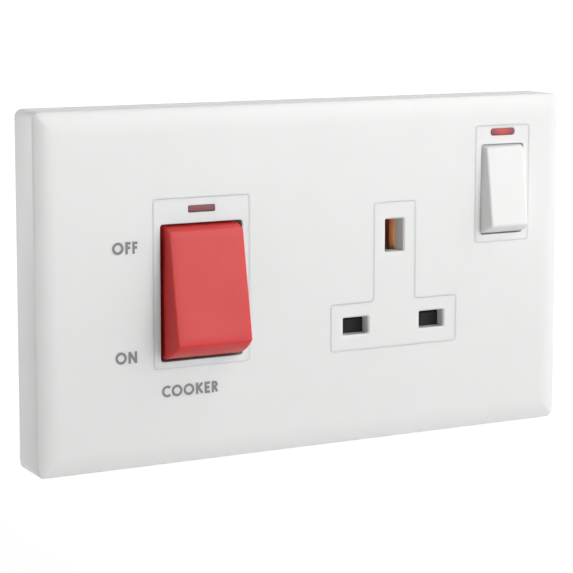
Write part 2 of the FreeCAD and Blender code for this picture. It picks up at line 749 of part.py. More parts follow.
for i, (sx, sz) in enumerate(((1, 1), (-1, 1), (1, -1), (-1, -1))):
    window_z = ordered(sz, f"{sz} * (tray_half_height - 2 * tray_wall)",
                       f"{sz} * (tray_half_height + cut_margin)")
    carrier_cuts.append(box(f"clip_window_{i}", around(f"{sx} * clip_offset", "clip_half + clip_play"),
                            ("-clip_near - clip_play", "-clip_far + clip_play"), window_z))
nodes["carrier"] = cut("carrier", fuse("carrier_body", tray, *carrier_adds), *carrier_cuts)

# Rockers with their plungers and plunger springs
POLES = {
    "cooker": (("live", "pole_offset"), ("neutral", "-pole_offset")),
    "switch": (("", "0"),),
}


def rocker_form(name, half, slim, front, level, rear, radius):
    """A drum about X, cut to a tapered plan with a flat front."""
    plan = extruded(f"{name}_plan", "z", around("0", f"{radius} + cut_margin"), [
        (f"-({slim})", front),
        (slim, front),
        (half, level),
        (half, rear),
        (f"-({half})", rear),
        (f"-({half})", level),
    ])
    return common(name, rod(f"{name}_drum", "x", radius, around("0", half), "0", "0"), plan)


def softened(body, name, wanted, radius):
    """Round the edges of a body that a test picks out."""
    base = body.Tip
    names = [f"Edge{i}" for i, edge in enumerate(base.Shape.Edges, start=1) if wanted(edge)]
    soft = body.newObject("PartDesign::Fillet", name)
    soft.Base = (base, names)
    bind(soft, "Radius", radius)
    body.Tip = soft
    doc.recompute()


for kind in ("cooker", "switch"):
    front = f"-{kind}_rocker_front"
    level = f"-{kind}_pivot_depth"
    rear = f"{kind}_rocker_rear"
    half = f"{kind}_rocker_width / 2"
    slim = f"{half} - {kind}_rocker_taper"
    wall = f"{kind}_rocker_wall"
    reach = f"{kind}_rocker_radius"
    blank = doc.addObject("PartDesign::Body", f"{kind}_rocker_blank")
    blank.BaseFeature = rocker_form(f"{kind}_outer", half, slim, front, level, rear, reach)
    doc.recompute()
    drum_radius, front_plane = numbers([reach, front])

    def on_end_corner(edge):
        inside = edge.BoundBox.YLength > NEAR
        points = edge.discretize(5)
        return inside and all(abs(math.hypot(point.y, point.z) - drum_radius) < NEAR for point in points)

    def on_front_edge(edge):
        limits = edge.BoundBox
        return abs(limits.YMin - front_plane) < NEAR and abs(limits.YMax - front_plane) < NEAR

    softened(blank, f"{kind}_rocker_ends", on_end_corner, "rocker_corner")
    softened(blank, f"{kind}_rocker_rim", on_front_edge, "rocker_edge")
    floor = f"{front} + {wall}"
    room = rocker_form(f"{kind}_room", f"{half} - {wall}", f"{slim} - {wall}", floor, level,
                       f"{rear} + cut_margin", f"{reach} - {wall}")
    hollow = cut(f"{kind}_hollow", blank, room)
    pins = []
    for side, sign in (("left", -1), ("right", 1)):
        pin_x = ordered(sign, f"{sign} * ({half} - {wall} / 2)", f"{sign} * ({half} + trunnion_length)")
        pins.append(rod(f"{kind}_trunnion_{side}", "x", "trunnion_radius", pin_x, "0", "0"))
    bosses = []
    bores = []
    bore_radius = f"{kind}_plunger_radius + plunger_play"
    for pole, offset in POLES[kind]:
        tag = f"{kind}_{pole}".rstrip("_")
        bosses.append(rod(f"{tag}_boss", "y", f"{kind}_boss_radius", offset,
                          (f"{floor} - {wall} / 2", f"{kind}_boss_rear"), "0"))
        bores.append(rod(f"{tag}_bore", "y", bore_radius, offset,
                         (floor, f"{kind}_boss_rear + cut_margin"), "0"))
        plunger = turned(f"{tag}_plunger", [
            ("0", f"{kind}_plunger_tail"),
            (f"{kind}_plunger_radius", f"{kind}_plunger_tail"),
            (f"{kind}_plunger_radius", f"{kind}_plunger_reach", f"{kind}_plunger_radius - plunger_nose"),
            ("0", f"{kind}_plunger_reach"),
        ])
        nodes[f"{tag}_plunger"] = swing(plunger, f"{kind}_x + {offset}", f"{kind}_pivot_y", f"{kind}_pivot_z",
                                        f"-90 - {kind}_tilt")
        start = f"({floor} + spring_wire)"
        coil = spring(f"{tag}_plunger_spring", f"{kind}_coil_radius", f"{kind}_coil_pitch",
                      f"{kind}_plunger_tail - {start} - spring_wire")
        lean = f"{kind}_tilt * 1 deg"
        nodes[f"{tag}_plunger_spring"] = swing(coil, f"{kind}_x + {offset}",
                                               f"{kind}_pivot_y + {start} * cos({lean})",
                                               f"{kind}_pivot_z - {start} * sin({lean})",
                                               f"-90 - {kind}_tilt")
    rocker = cut(f"{kind}_rocker", fuse(f"{kind}_rocker_body", hollow, *pins, *bosses), *bores)
    nodes[f"{kind}_rocker"] = swing(rocker, f"{kind}_x", f"{kind}_pivot_y", f"{kind}_pivot_z",
                                    f"-{kind}_tilt")

# Contact arms and their tips
for kind in ("cooker", "switch"):
    back = f"({kind}_arm_thickness - {kind}_arm_seat)"
    swung = f"{kind}_arm_swing * 1 deg"
    for pole, offset in POLES[kind]:
        tag = f"{kind}_{pole}".rstrip("_")
        centre = f"{kind}_x + {offset}"
        bar = slab(f"{tag}_arm_bar", around("0", f"{kind}_arm_half_width"), (f"-{kind}_arm_seat", back),
                   around("0", f"{kind}_arm_half_length"), "arm_corner")
        knuckle = rod(f"{tag}_arm_knuckle", "x", f"{kind}_knuckle_radius",
                      around("0", f"{kind}_arm_half_width"), "0", "0")
        nodes[f"{tag}_arm"] = swing(fuse(f"{tag}_arm", bar, knuckle), centre, f"{kind}_arm_y",
                                    f"{kind}_pivot_z", f"{kind}_arm_swing")
        tip = turned(f"{tag}_moving_tip", [
            ("0", "0"),
            (f"{kind}_tip_radius", "0"),
            (f"{kind}_tip_radius", f"{kind}_tip_height", "tip_rim"),
            ("0", f"{kind}_tip_height"),
        ])
        nodes[f"{tag}_moving_tip"] = swing(
            tip, centre, f"{kind}_arm_y + {back} * cos({swung}) - {kind}_contact_reach * sin({swung})",
            f"{kind}_pivot_z + {back} * sin({swung}) + {kind}_contact_reach * cos({swung})",
            f"{kind}_arm_swing - 90")
        touch_y = f"{kind}_arm_y - {kind}_tip_face * cos({swung}) + {kind}_contact_reach * sin({swung})"
        touch_z = f"{kind}_pivot_z + {kind}_contact_reach * cos({swung}) + {kind}_tip_face * sin({swung})"
        dome_y = f"{touch_y} + (dome_radius + contact_gap) / cos({swung})"
        seat = "bay_floor" if kind == "cooker" else "post_front"
        stud = rod(f"{tag}_fixed_tip_stud", "y", f"{kind}_tip_radius", centre,
                   (f"{dome_y} - dome_radius - cut_margin", seat), touch_z)
        dome = ball(f"{tag}_fixed_tip_dome", "dome_radius", centre, dome_y, touch_z)
        nodes[f"{tag}_fixed_tip"] = common(f"{tag}_fixed_tip", stud, dome)

# Cooker terminals and their screws
terminal_screws = []
strap_y = ("bay_floor", "chamber_floor")
for pole, offset in POLES["cooker"]:
    centre = f"cooker_x + {offset}"
    strap_x = around(centre, "cooker_arm_half_width")
    for side, sign in (("supply", -1), ("load", 1)):
        tag = f"{side}_{pole}"
        near = f"cooker_pivot_z + {sign} * block_near"
        far = f"cooker_pivot_z + {sign} * block_far"
        span = ordered(sign, near, far)
        middle = f"cooker_pivot_z + {sign} * (block_near + block_far) / 2"
        block = slab(f"{tag}_block", around(centre, "block_half_width"), ("chamber_floor", "block_rear"),
                     span, "block_corner")
        holes = [
            rod(f"{tag}_cable_bore", "z", "cable_bore_radius", centre, "cable_bore_y",
                (f"{span[0]} - cut_margin", f"{span[1]} + cut_margin")),
            rod(f"{tag}_screw_hole", "y", "terminal_screw_radius + trunnion_play", centre,
                ("cable_bore_y", "block_rear + cut_margin"), middle),
        ]
        if side == "supply":
            saddle = around("cooker_pivot_z", "saddle_half")
            strap = extruded(f"{tag}_strap", "x", strap_x, [
                ("bay_floor", far),
                ("chamber_floor", far),
                ("chamber_floor", saddle[1]),
                ("cooker_arm_y", saddle[1], "strip_round"),
                ("cooker_arm_y", saddle[0], "strip_round"),
                ("bay_floor", saddle[0], "strip_round"),
            ])
            holes.append(rod(f"{tag}_groove", "x", "cooker_knuckle_radius + knuckle_play",
                             around(centre, "cooker_arm_half_width + cut_margin"), "cooker_arm_y",
                             "cooker_pivot_z"))
        else:
            strap = slab(f"{tag}_strap", strap_x, strap_y,
                         ("cooker_pivot_z + load_pad_near", far), "strip_round")
        nodes[f"{tag}_terminal"] = cut(f"{tag}_terminal", fuse(f"{tag}_terminal_body", strap, block), *holes)
        terminal_screws.append(screw(f"{tag}_screw", centre, middle,
                                     "cable_bore_y + cable_bore_radius + contact_gap", "block_rear",
                                     "terminal_screw_radius", "terminal_head_radius",
                                     "terminal_head_height", "x"))
nodes["cooker_terminal_screws"] = terminal_screws

# Cooker base moulding and its screws
open_front = "-base_front - cut_margin"
base_block = slab("cooker_base_block", around("cooker_x", "base_half_width"), ("-base_front", "base_rear"),
                  around("cooker_pivot_z", "base_half_height"), "base_corner")
base_cuts = []
for pole, sign in (("live", 1), ("neutral", -1)):
    span = ordered(sign, f"cooker_x + {sign} * barrier_half",
                   f"cooker_x + {sign} * (base_half_width - base_wall)")
    chamber_z = around("cooker_pivot_z", "chamber_half_height")
    base_cuts.append(slab(f"{pole}_chamber", span, (open_front, "chamber_floor"), chamber_z, "room_corner"))
    base_cuts.append(slab(f"{pole}_back_room", span, ("chamber_floor + base_wall", "base_rear + cut_margin"),
                          chamber_z, "room_corner"))
    for end, up in (("upper", 1), ("lower", -1)):
        near = f"cooker_pivot_z + {up} * bay_near"
        bay = ordered(up, near, f"cooker_pivot_z + {up} * (base_half_height + cut_margin)")
        pocket = ordered(up, near, f"cooker_pivot_z + {up} * (base_half_height - base_wall)")
        slot = ordered(up, f"cooker_pivot_z + {up} * (chamber_half_height - cut_margin)",
                       f"cooker_pivot_z + {up} * (bay_near + cut_margin)")
        base_cuts.append(box(f"{pole}_{end}_bay", span, ("bay_floor", "base_rear + cut_margin"), bay))
        base_cuts.append(slab(f"{pole}_{end}_pocket", span, (open_front, "pocket_floor"), pocket,
                              "room_corner"))
        base_cuts.append(box(f"{pole}_{end}_slot",
                             around(f"cooker_x + {sign} * pole_offset", "cooker_arm_half_width"),
                             strap_y, slot))
link_y = (open_front, "link_play - link_rear")
for name, start, low, high in (
    ("live", "cooker_x + pole_offset", "live_link_low", "live_link_high"),
    ("neutral", "cooker_x - pole_offset", "neutral_link_low", "neutral_link_high"),
):
    base_cuts.append(box(f"{name}_link_notch", (f"{start} - link_half_width - link_play",
                                                "cooker_x + base_half_width + cut_margin"), link_y,
                         (f"{low} - link_play", f"{high} + link_play")))
    base_cuts.append(box(f"{name}_link_hole", around(start, "link_half_width + link_play"),
                         ("pocket_floor - cut_margin", "bay_floor + cut_margin / 2"),
                         (f"{low} - link_fit", f"{high} + link_fit")))
ear_y = ("-base_front", "ear_thickness - base_front")
base_adds = []
ear_holes = []
for name, sign, x, z in COOKER_EARS:
    root = f"cooker_x + {sign} * (base_half_width - base_wall / 2)"
    end = f"{x} + {sign} * post_radius"
    low, high = around(z, "ear_half_height")
    base_adds.append(extruded(f"{name}_ear", "y", ear_y, [
        (root, low),
        (end, low, "ear_corner"),
        (end, high, "ear_corner"),
        (root, high),
    ]))
    ear_holes.append(rod(f"{name}_ear_hole", "y", "ear_hole_radius", x, (open_front, "cut_margin"), z))
cooker_base_shell = cut("cooker_base_shell", base_block, *base_cuts)
nodes["cooker_base"] = cut("cooker_base", fuse("cooker_base_body", cooker_base_shell, *base_adds), *ear_holes)
seat_y = "(ear_thickness - base_front)"
nodes["cooker_base_screws"] = [
    screw(f"{name}_screw", x, z, "-screw_end", seat_y, "screw_radius", "screw_head_radius",
          "screw_head_height", "z")
    for name, sign, x, z in COOKER_EARS
]

# Neon lenses, lamps and resistors
for kind in ("cooker", "switch"):
    body = slab(f"{kind}_lens_body", around(f"{kind}_x", f"{kind}_lens_width / 2"),
                ("-face_depth", "lens_flange_thickness / 2 - tray_floor"),
                around(f"{kind}_lens_z", f"{kind}_lens_height / 2"), f"{kind}_lens_corner")
    flange = slab(f"{kind}_lens_flange", around(f"{kind}_x", f"{kind}_lens_width / 2 + lens_flange_side"),
                  ("-tray_floor", "lens_flange_thickness - tray_floor"),
                  around(f"{kind}_lens_z", "lens_flange_half_height"), "lens_flange_corner")
    nodes[f"{kind}_neon_lens"] = fuse(f"{kind}_neon_lens", body, flange)
    lamp_y = "lens_flange_thickness + lamp_play + lamp_radius - tray_floor"
    inward = 1 if kind == "cooker" else -1
    tip = f"{inward} * (-lamp_half_length - lamp_radius)"
    end = f"{inward} * lamp_half_length"
    near = f"{inward} * (lamp_half_length + lead_length)"
    far = f"{inward} * (lamp_half_length + lead_length + resistor_length)"
    lamp = turned(f"{kind}_neon_lamp", [
        ("0", tip),
        ("lamp_radius", tip, "lamp_nose"),
        ("lamp_radius", end),
        ("0", end),
    ])
    resistor = turned(f"{kind}_neon_resistor", [
        ("0", end),
        ("lead_radius", end),
        ("lead_radius", near),
        ("resistor_radius", near, "resistor_round"),
        ("resistor_radius", far, "resistor_round"),
        ("0", far),
    ])
    nodes[f"{kind}_neon_lamp"] = placed(lamp, "x", f"{kind}_x", lamp_y, f"{kind}_lens_z")
    nodes[f"{kind}_neon_resistor"] = placed(resistor, "x", f"{kind}_x", lamp_y, f"{kind}_lens_z")

# Shutter and its return spring
shutter_face = f"{shutter_front} + shutter_play"
shutter_back = f"{shutter_front} + shutter_thickness"
nodes["socket_shutter"] = extruded("socket_shutter", "x", around("socket_x", "shutter_half_width"), [
    (shutter_face, "shutter_bottom", "strip_round"),
    (shutter_back, "shutter_bottom"),
    (shutter_back, "shutter_top"),
    (f"{shutter_front} + shutter_ramp", "shutter_top"),
    (shutter_face, "shutter_top - shutter_ramp + shutter_play"),
])
coil = spring("shutter_spring", "shutter_coil_radius", "shutter_coil_pitch",
              "shutter_bottom - shutter_spring_end - 2 * spring_wire")
bind(coil, "Placement.Base.x", "socket_x")
bind(coil, "Placement.Base.y", f"{shutter_front} + shutter_thickness / 2")
bind(coil, "Placement.Base.z", "shutter_spring_end + spring_wire")
nodes["shutter_spring"] = coil

# Socket contacts, earth terminal and the inner bars
bar_y = ("bar_front", "bar_rear")


def jaw_outline(centre, front, lip, spread, sideways):
    """A strip bent to a U open at the front, its two lips spread; sideways swaps the two directions."""
    inner = "leaf_gap"
    outer = "leaf_gap + leaf_thickness"
    mouth = f"{lip} - {front}"
    half = [
        (f"{inner} + {spread}", f"-{front}"),
        (f"{outer} + {spread}", f"-{front}"),
        (outer, mouth, "lip_round"),
        (outer, "bar_rear", "leaf_shoulder"),
    ]
    inside = [
        (inner, "bar_front", "leaf_bend"),
        (inner, mouth, "lip_round"),
    ]
    right = [(f"{centre} + ({across})", *rest) for across, *rest in half]
    left = [(f"{centre} - ({across})", *rest) for across, *rest in reversed(half)]
    left_in = [(f"{centre} - ({across})", *rest) for across, *rest in reversed(inside)]
    right_in = [(f"{centre} + ({across})", *rest) for across, *rest in inside]
    corners = right + left + left_in + right_in
    return [(along, across, *bend) for across, along, *bend in corners] if sideways else corners


def pin_jaws(name, x):
    return extruded(name, "x", around(x, "pin_leaf_half_width"),
                    jaw_outline("pin_row_z", "pin_leaf_front", "pin_lip_length", "pin_lip_spread", True))


neutral_x = "socket_x - pin_pitch / 2"
live_x = "socket_x + pin_pitch / 2"
earth_z = "pin_row_z + pin_pitch"
neutral_tail = slab("neutral_tail", around(neutral_x, "link_half_width"), bar_y,
                    ("neutral_link_low", "pin_row_z"), "strip_round")
nodes["neutral_contact"] = fuse("neutral_contact", pin_jaws("neutral_jaw", neutral_x), neutral_tail)
live_tail = slab("live_tail", (live_x, "strap_leg_left"), bar_y, around("pin_row_z", "leaf_gap"),
                 "strip_round")
nodes["live_contact"] = fuse("live_contact", pin_jaws("live_jaw", live_x), live_tail)
pad_x = around("switch_x", "switch_arm_half_width")
pad_z = ("switch_pivot_z + pad_reach", "switch_base_top - pad_end_inset")
strap_top = "strap_top_low + strap_width"
live_strap_blank = extruded("live_strap_blank", "y", ("post_front", "post_rear"), [
    ("strap_leg_left", "strap_low"),
    ("strap_right", "strap_low", "strip_round"),
    ("strap_right", "strap_top_low", "strip_round"),
    (pad_x[0], "strap_top_low", "strip_round"),
    (pad_x[0], pad_z[0], "strip_round"),
    (pad_x[1], pad_z[0], "strip_round"),
    (pad_x[1], pad_z[1], "strip_round"),
    (pad_x[0], pad_z[1], "strip_round"),
    (pad_x[0], strap_top, "strip_round"),
    ("strap_left", strap_top, "strip_round"),
    ("strap_left", "strap_high", "strip_round"),
    ("strap_leg_left", "strap_high"),
])
live_strap_leg = box("live_strap_leg", ("strap_leg_left", "strap_leg_right"), ("post_front", "bar_rear"),
                     ("strap_low", "strap_high"))
live_strap_drop = slab("live_strap_drop", ("strap_leg_left", "strap_leg_left + 2 * link_half_width"), bar_y,
                       ("pin_row_z - leaf_gap", "strap_high"), "strip_round")
nodes["live_strap"] = fuse("live_strap", live_strap_blank, live_strap_leg, live_strap_drop)

nodes["earth_contact"] = extruded("earth_contact", "z", around(earth_z, "earth_leaf_half_height"),
                                  jaw_outline("socket_x", "earth_leaf_front", "earth_lip_length",
                                              "earth_lip_spread", False))
earth_block_x = "(socket_base_left + earth_bay_right) / 2"
earth_block_z = "(socket_base_top + earth_bay_top) / 2 + base_wall / 2"
earth_block_half = "(earth_bay_right - socket_base_left) / 2 - base_wall - earth_block_play"
earth_strap_x = around(earth_block_x, "earth_strap_half")
earth_strap_end = "socket_x - leaf_gap - leaf_thickness"
earth_strap_top = f"{earth_block_z} + earth_strap_reach"
earth_strap_blank = extruded("earth_strap_blank", "y", bar_y, [
    (earth_strap_x[0], f"{earth_z} - link_half_width", "strip_round"),
    (earth_strap_end, f"{earth_z} - link_half_width"),
    (earth_strap_end, f"{earth_z} + link_half_width"),
    (earth_strap_x[1], f"{earth_z} + link_half_width", "strip_round"),
    (earth_strap_x[1], earth_strap_top, "link_bend"),
    (earth_strap_x[0], earth_strap_top, "link_bend"),
])
strap_hole = rod("earth_strap_hole", "y", "earth_screw_radius + trunnion_play", earth_block_x,
                 ("bar_front - cut_margin", "bar_rear + cut_margin"), earth_block_z)
nodes["earth_strap"] = cut("earth_strap", earth_strap_blank, strap_hole)
earth_block = slab("earth_block", around(earth_block_x, earth_block_half), ("earth_block_front", "bar_front"),
                   around(earth_block_z, "block_half_width"), "block_corner")
earth_bore = rod("earth_cable_bore", "z", "earth_bore_radius", earth_block_x, "earth_bore_y",
                 around(earth_block_z, "block_half_width + cut_margin"))
earth_thread = rod("earth_thread", "y", "earth_screw_radius + trunnion_play", earth_block_x,
                   ("earth_bore_y", "bar_front + cut_margin"), earth_block_z)
nodes["earth_terminal"] = cut("earth_terminal", earth_block, earth_bore, earth_thread)
nodes["earth_terminal_screw"] = screw("earth_terminal_screw", earth_block_x, earth_block_z,
                                      "earth_bore_y + earth_bore_radius + contact_gap", "bar_rear",
                                      "earth_screw_radius", "terminal_head_radius",
                                      "terminal_head_height", "x")

post_saddle = around("switch_pivot_z", "post_saddle_half")
post_strap = extruded("switch_post_strap", "x", pad_x, [
    ("post_front", "post_bottom"),
    ("post_rear", "post_bottom"),
    ("post_rear", post_saddle[1]),
    ("switch_arm_y", post_saddle[1], "strip_round"),
    ("switch_arm_y", post_saddle[0], "strip_round"),
    ("post_front", post_saddle[0], "strip_round"),
])
post_groove = rod("switch_post_groove", "x", "switch_knuckle_radius + knuckle_play",
                  around("switch_x", "switch_arm_half_width + cut_margin"), "switch_arm_y", "switch_pivot_z")
nodes["switch_supply_post"] = cut("switch_supply_post", post_strap, post_groove)
live_start = around("cooker_x + pole_offset", "link_half_width")
live_link_run = extruded("live_link_run", "z", ("live_link_low", "live_link_high"), [
    (live_start[0], "-link_front", "link_bend"),
    ("riser_right", "-link_front"),
    ("riser_right", "-link_rear"),
    (live_start[1], "-link_rear", "link_inner_bend"),
    (live_start[1], "bay_floor"),
    (live_start[0], "bay_floor"),
])
live_link_rise = extruded("live_link_rise", "y", ("-link_front", "-link_rear"), [
    ("riser_left", "live_link_low"),
    ("riser_right", "live_link_low"),
    ("riser_right", "post_bottom", "link_inner_bend"),
    ("switch_x + link_half_width", "post_bottom"),
    ("switch_x + link_half_width", "link_step_top"),
    ("riser_left", "link_step_top", "link_bend"),
])
live_link_end = box("live_link_end", around("switch_x", "link_half_width"), ("-link_front", "post_front"),
                    ("post_bottom", "link_step_top"))
nodes["live_link"] = fuse("live_link", live_link_run, live_link_rise, live_link_end)
neutral_start = around("cooker_x - pole_offset", "link_half_width")
neutral_end = around(neutral_x, "link_half_width")
nodes["neutral_link"] = extruded("neutral_link", "z", ("neutral_link_low", "neutral_link_high"), [
    (neutral_start[0], "-link_front", "link_bend"),
    (neutral_end[1], "-link_front", "link_bend"),
    (neutral_end[1], "bar_front"),
    (neutral_end[0], "bar_front"),
    (neutral_end[0], "-link_rear", "link_inner_bend"),
    (neutral_start[1], "-link_rear", "link_inner_bend"),
    (neutral_start[1], "bay_floor"),
    (neutral_start[0], "bay_floor"),
])

# Socket base moulding and its screws
socket_block = extruded("socket_block", "y", ("-base_front", "socket_base_rear"), [
    ("socket_base_left", "socket_base_bottom", "base_corner"),
    ("socket_base_right", "socket_base_bottom", "base_corner"),
    ("socket_base_right", "socket_base_top", "base_corner"),
    ("earth_bay_right", "socket_base_top", "room_corner"),
    ("earth_bay_right", "earth_bay_top", "base_corner"),
    ("socket_base_left", "earth_bay_top", "base_corner"),
])
switch_block = slab("switch_block", ("switch_base_left", "switch_base_right"),
                    ("-base_front", "switch_base_rear"),
                    ("switch_base_bottom", "switch_base_top"), "base_corner")
entry_x = ("socket_base_left - cut_margin", "socket_base_left + 2 * base_wall")
bay_x = ("socket_base_left + base_wall", "earth_bay_right - base_wall")
socket_cuts = [
    slab("socket_room", ("socket_base_left + base_wall", "socket_base_right - base_wall"),
         (open_front, "bar_rear"), ("socket_base_bottom + base_wall", "socket_base_top - base_wall"),
         "room_corner"),
    slab("switch_room", ("socket_base_right + base_wall", "switch_base_right - base_wall"),
         (open_front, "post_rear"), ("switch_base_bottom + base_wall", "switch_base_top - base_wall"),
         "room_corner"),
    box("live_link_gate", ("riser_left", "switch_x"), link_y,
        ("post_bottom - link_play / 2", "link_step_top + link_play")),
    box("live_strap_gate", ("strap_leg_left", "strap_right"), ("post_front", "post_rear"),
        ("strap_low", "strap_high")),
    box("live_link_entry", entry_x, link_y, ("live_link_low - link_play", "live_link_high + link_play")),
    box("neutral_link_entry", entry_x, link_y,
        ("neutral_link_low - link_play", "neutral_link_high + link_play")),
    box("earth_bay", bay_x, ("earth_block_front", "socket_base_rear + cut_margin"),
        ("socket_base_top", "earth_bay_top + cut_margin")),
    slab("earth_bay_front", bay_x, (open_front, "earth_block_front - base_wall"),
         ("socket_base_top", "earth_bay_top - base_wall"), "room_corner"),
    box("earth_strap_gate", earth_strap_x, bar_y,
        ("socket_base_top - 2 * base_wall", "socket_base_top + cut_margin")),
]
socket_ears = []
socket_holes = []
for name, sign, x, z in SOCKET_EARS:
    if sign:
        root = "socket_base_left + base_wall / 2" if sign < 0 else "socket_base_right - base_wall / 2"
        end = f"{x} + {sign} * socket_ear_half"
        low, high = around(z, "socket_ear_half")
        corners = [(root, low), (end, low, "ear_corner"), (end, high, "ear_corner"), (root, high)]
    else:
        root = "socket_base_top - base_wall / 2"
        end = f"{z} + socket_ear_half"
        low, high = around(x, "socket_ear_half")
        corners = [(low, root), (low, end, "ear_corner"), (high, end, "ear_corner"), (high, root)]
    socket_ears.append(extruded(f"{name}_ear", "y", ear_y, corners))
    socket_holes.append(rod(f"{name}_ear_hole", "y", "ear_hole_radius", x, (open_front, "cut_margin"), z))
socket_shell = cut("socket_base_shell", fuse("socket_base_outer", socket_block, switch_block), *socket_cuts)
nodes["socket_base"] = cut("socket_base", fuse("socket_base_body", socket_shell, *socket_ears), *socket_holes)
nodes["socket_base_screws"] = [
    screw(f"{name}_screw", x, z, "-screw_end", seat_y, "screw_radius", "screw_head_radius",
          "screw_head_height", "z")
    for name, sign, x, z in SOCKET_EARS
]

doc.removeObject(workings.Name)
doc.recompute()

# Check every object, then write one file for each piece
faults = [item.Name for item in doc.Objects if "Invalid" in item.State or "Error" in item.State]
for name, item in nodes.items():
    pieces = item if isinstance(item, list) else [item]
    for piece in pieces:
        shape = piece.Shape
        if shape.isNull() or not shape.isValid() or len(shape.Solids) != 1:
            faults.append(f"{name}: {piece.Name} solids {len(shape.Solids)}")
if faults:
    raise RuntimeError("faulty objects: " + ", ".join(faults))
for name, item in nodes.items():
    pieces = item if isinstance(item, list) else [item]
    shapes = [solid for piece in pieces for solid in piece.Shape.Solids]
    whole = shapes[0] if len(shapes) == 1 else Part.makeCompound(shapes)
    whole.exportStep(f"parts/{name}.step")
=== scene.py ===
# %% [markdown]
# # A cooker control unit, dressed for its portrait
# The real object is a wide wall plate with a big red double-pole switch on the left and a switched socket
# on the right. The solids already have the right sizes, so this lesson adds what the eye looks for: rounded
# mould edges, finishes, printed words, a studio and a camera. The scene is in metres in the solids' own
# frame: X to the right, Z up, the front faces -Y. The sizes of pieces are written in millimetres.

# %% Load the solids
import json
import math

import bmesh
import bpy
import numpy as np
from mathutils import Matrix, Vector
from mathutils.geometry import tessellate_polygon


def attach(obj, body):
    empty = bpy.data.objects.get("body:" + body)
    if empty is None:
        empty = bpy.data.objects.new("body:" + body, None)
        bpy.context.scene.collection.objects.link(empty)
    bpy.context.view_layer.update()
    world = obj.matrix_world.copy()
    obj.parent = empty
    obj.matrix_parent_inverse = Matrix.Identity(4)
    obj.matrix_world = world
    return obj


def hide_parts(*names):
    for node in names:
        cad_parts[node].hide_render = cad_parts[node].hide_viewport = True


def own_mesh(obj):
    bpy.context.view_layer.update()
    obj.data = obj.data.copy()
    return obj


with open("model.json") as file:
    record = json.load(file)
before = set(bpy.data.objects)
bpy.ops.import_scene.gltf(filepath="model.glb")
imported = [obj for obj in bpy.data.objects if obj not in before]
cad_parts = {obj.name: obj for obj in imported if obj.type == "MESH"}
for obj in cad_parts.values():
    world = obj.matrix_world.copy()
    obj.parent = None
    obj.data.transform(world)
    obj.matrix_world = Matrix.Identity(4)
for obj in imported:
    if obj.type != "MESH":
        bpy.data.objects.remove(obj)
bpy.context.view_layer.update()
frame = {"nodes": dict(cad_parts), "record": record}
solids = frame["nodes"]
MM = 0.001
COOKER_X, SWITCH_X = -30.75, 55.05

# %% [markdown]
# ## Colour and nodes
# Colours are written the way a picture editor shows them, as sRGB hex, but the shader works in linear light.
# One function makes that change, so each colour is written once. Three more start a material, add a shader
# node with its settings and links, and mix two colours: a finish then reads as a list of what feeds what.

# %% Helpers for every finish
MIX_SHARE, MIX_FIRST, MIX_SECOND, MIX_RESULT = 0, 6, 7, 2


def linear(colour):
    """sRGB hex to linear light: share / 12.92 in the darks, ((share + 0.055) / 1.055) ** 2.4 above."""
    share = np.array([int(colour[i:i + 2], 16) for i in (1, 3, 5)]) / 255
    light = np.where(share <= 0.04045, share / 12.92, ((share + 0.055) / 1.055) ** 2.4)
    return (*light.tolist(), 1.0)


def fresh(name):
    """A new material, its node tree and the shader in it."""
    material = bpy.data.materials.new(name)
    material.use_nodes = True
    return material, material.node_tree, material.node_tree.nodes["Principled BSDF"]


def add(tree, kind, settings=None, links=None):
    """Add one node. Settings go to its sockets or properties, and links name what feeds each input."""
    node = tree.nodes.new(kind)
    for name, value in (settings or {}).items():
        if isinstance(name, int) or name in node.inputs:
            node.inputs[name].default_value = value
        else:
            setattr(node, name, value)
    for name, source in (links or {}).items():
        tree.links.new(source, node.inputs[name])
    return node


def blend(tree, share, first, second):
    """Two colours mixed by a share: (1 - share) first + share second."""
    colours = {MIX_FIRST: linear(first), MIX_SECOND: linear(second)}
    mix = add(tree, "ShaderNodeMix", {"data_type": "RGBA", **colours}, {MIX_SHARE: share})
    return mix.outputs[MIX_RESULT]


print("white is", [round(v, 3) for v in linear("#FFFFFF")])

# %% [markdown]
# ## Moulded plastics
# The plate, its inner carrier and the small rocker are urea formaldehyde: a hard thermoset pressed in a
# polished steel mould. It is bright white and glossy, with the faint waviness of a moulded skin, and light
# wanders most of a millimetre inside it before it comes out again. That softens thin gaps and shadows, and
# it is what tells urea from white paint, so the shader gets that depth. The red rocker is the same kind of
# moulding in red with a satin face, the rear mouldings are a duller nylon, and the shutter is black nylon.
# The white beside the red rocker has no red tinge and lies in shade. So the red is a dark grey to the rays
# that
# carry its light to its neighbours: painted shade on them, a choice of look and not how the plastic behaves.
# A wide soft noise varies the colour by a percent or two and the gloss by a tenth, and a fine one is the
# skin's texture. The fine one is 0.4 mm across: the real skin is finer still, but that would not show.

# %% Plastics
CLOUD, GRAIN, SKIN_HEIGHT = 9, 0.4, 0.02
GLOSS_SWING = 0.12


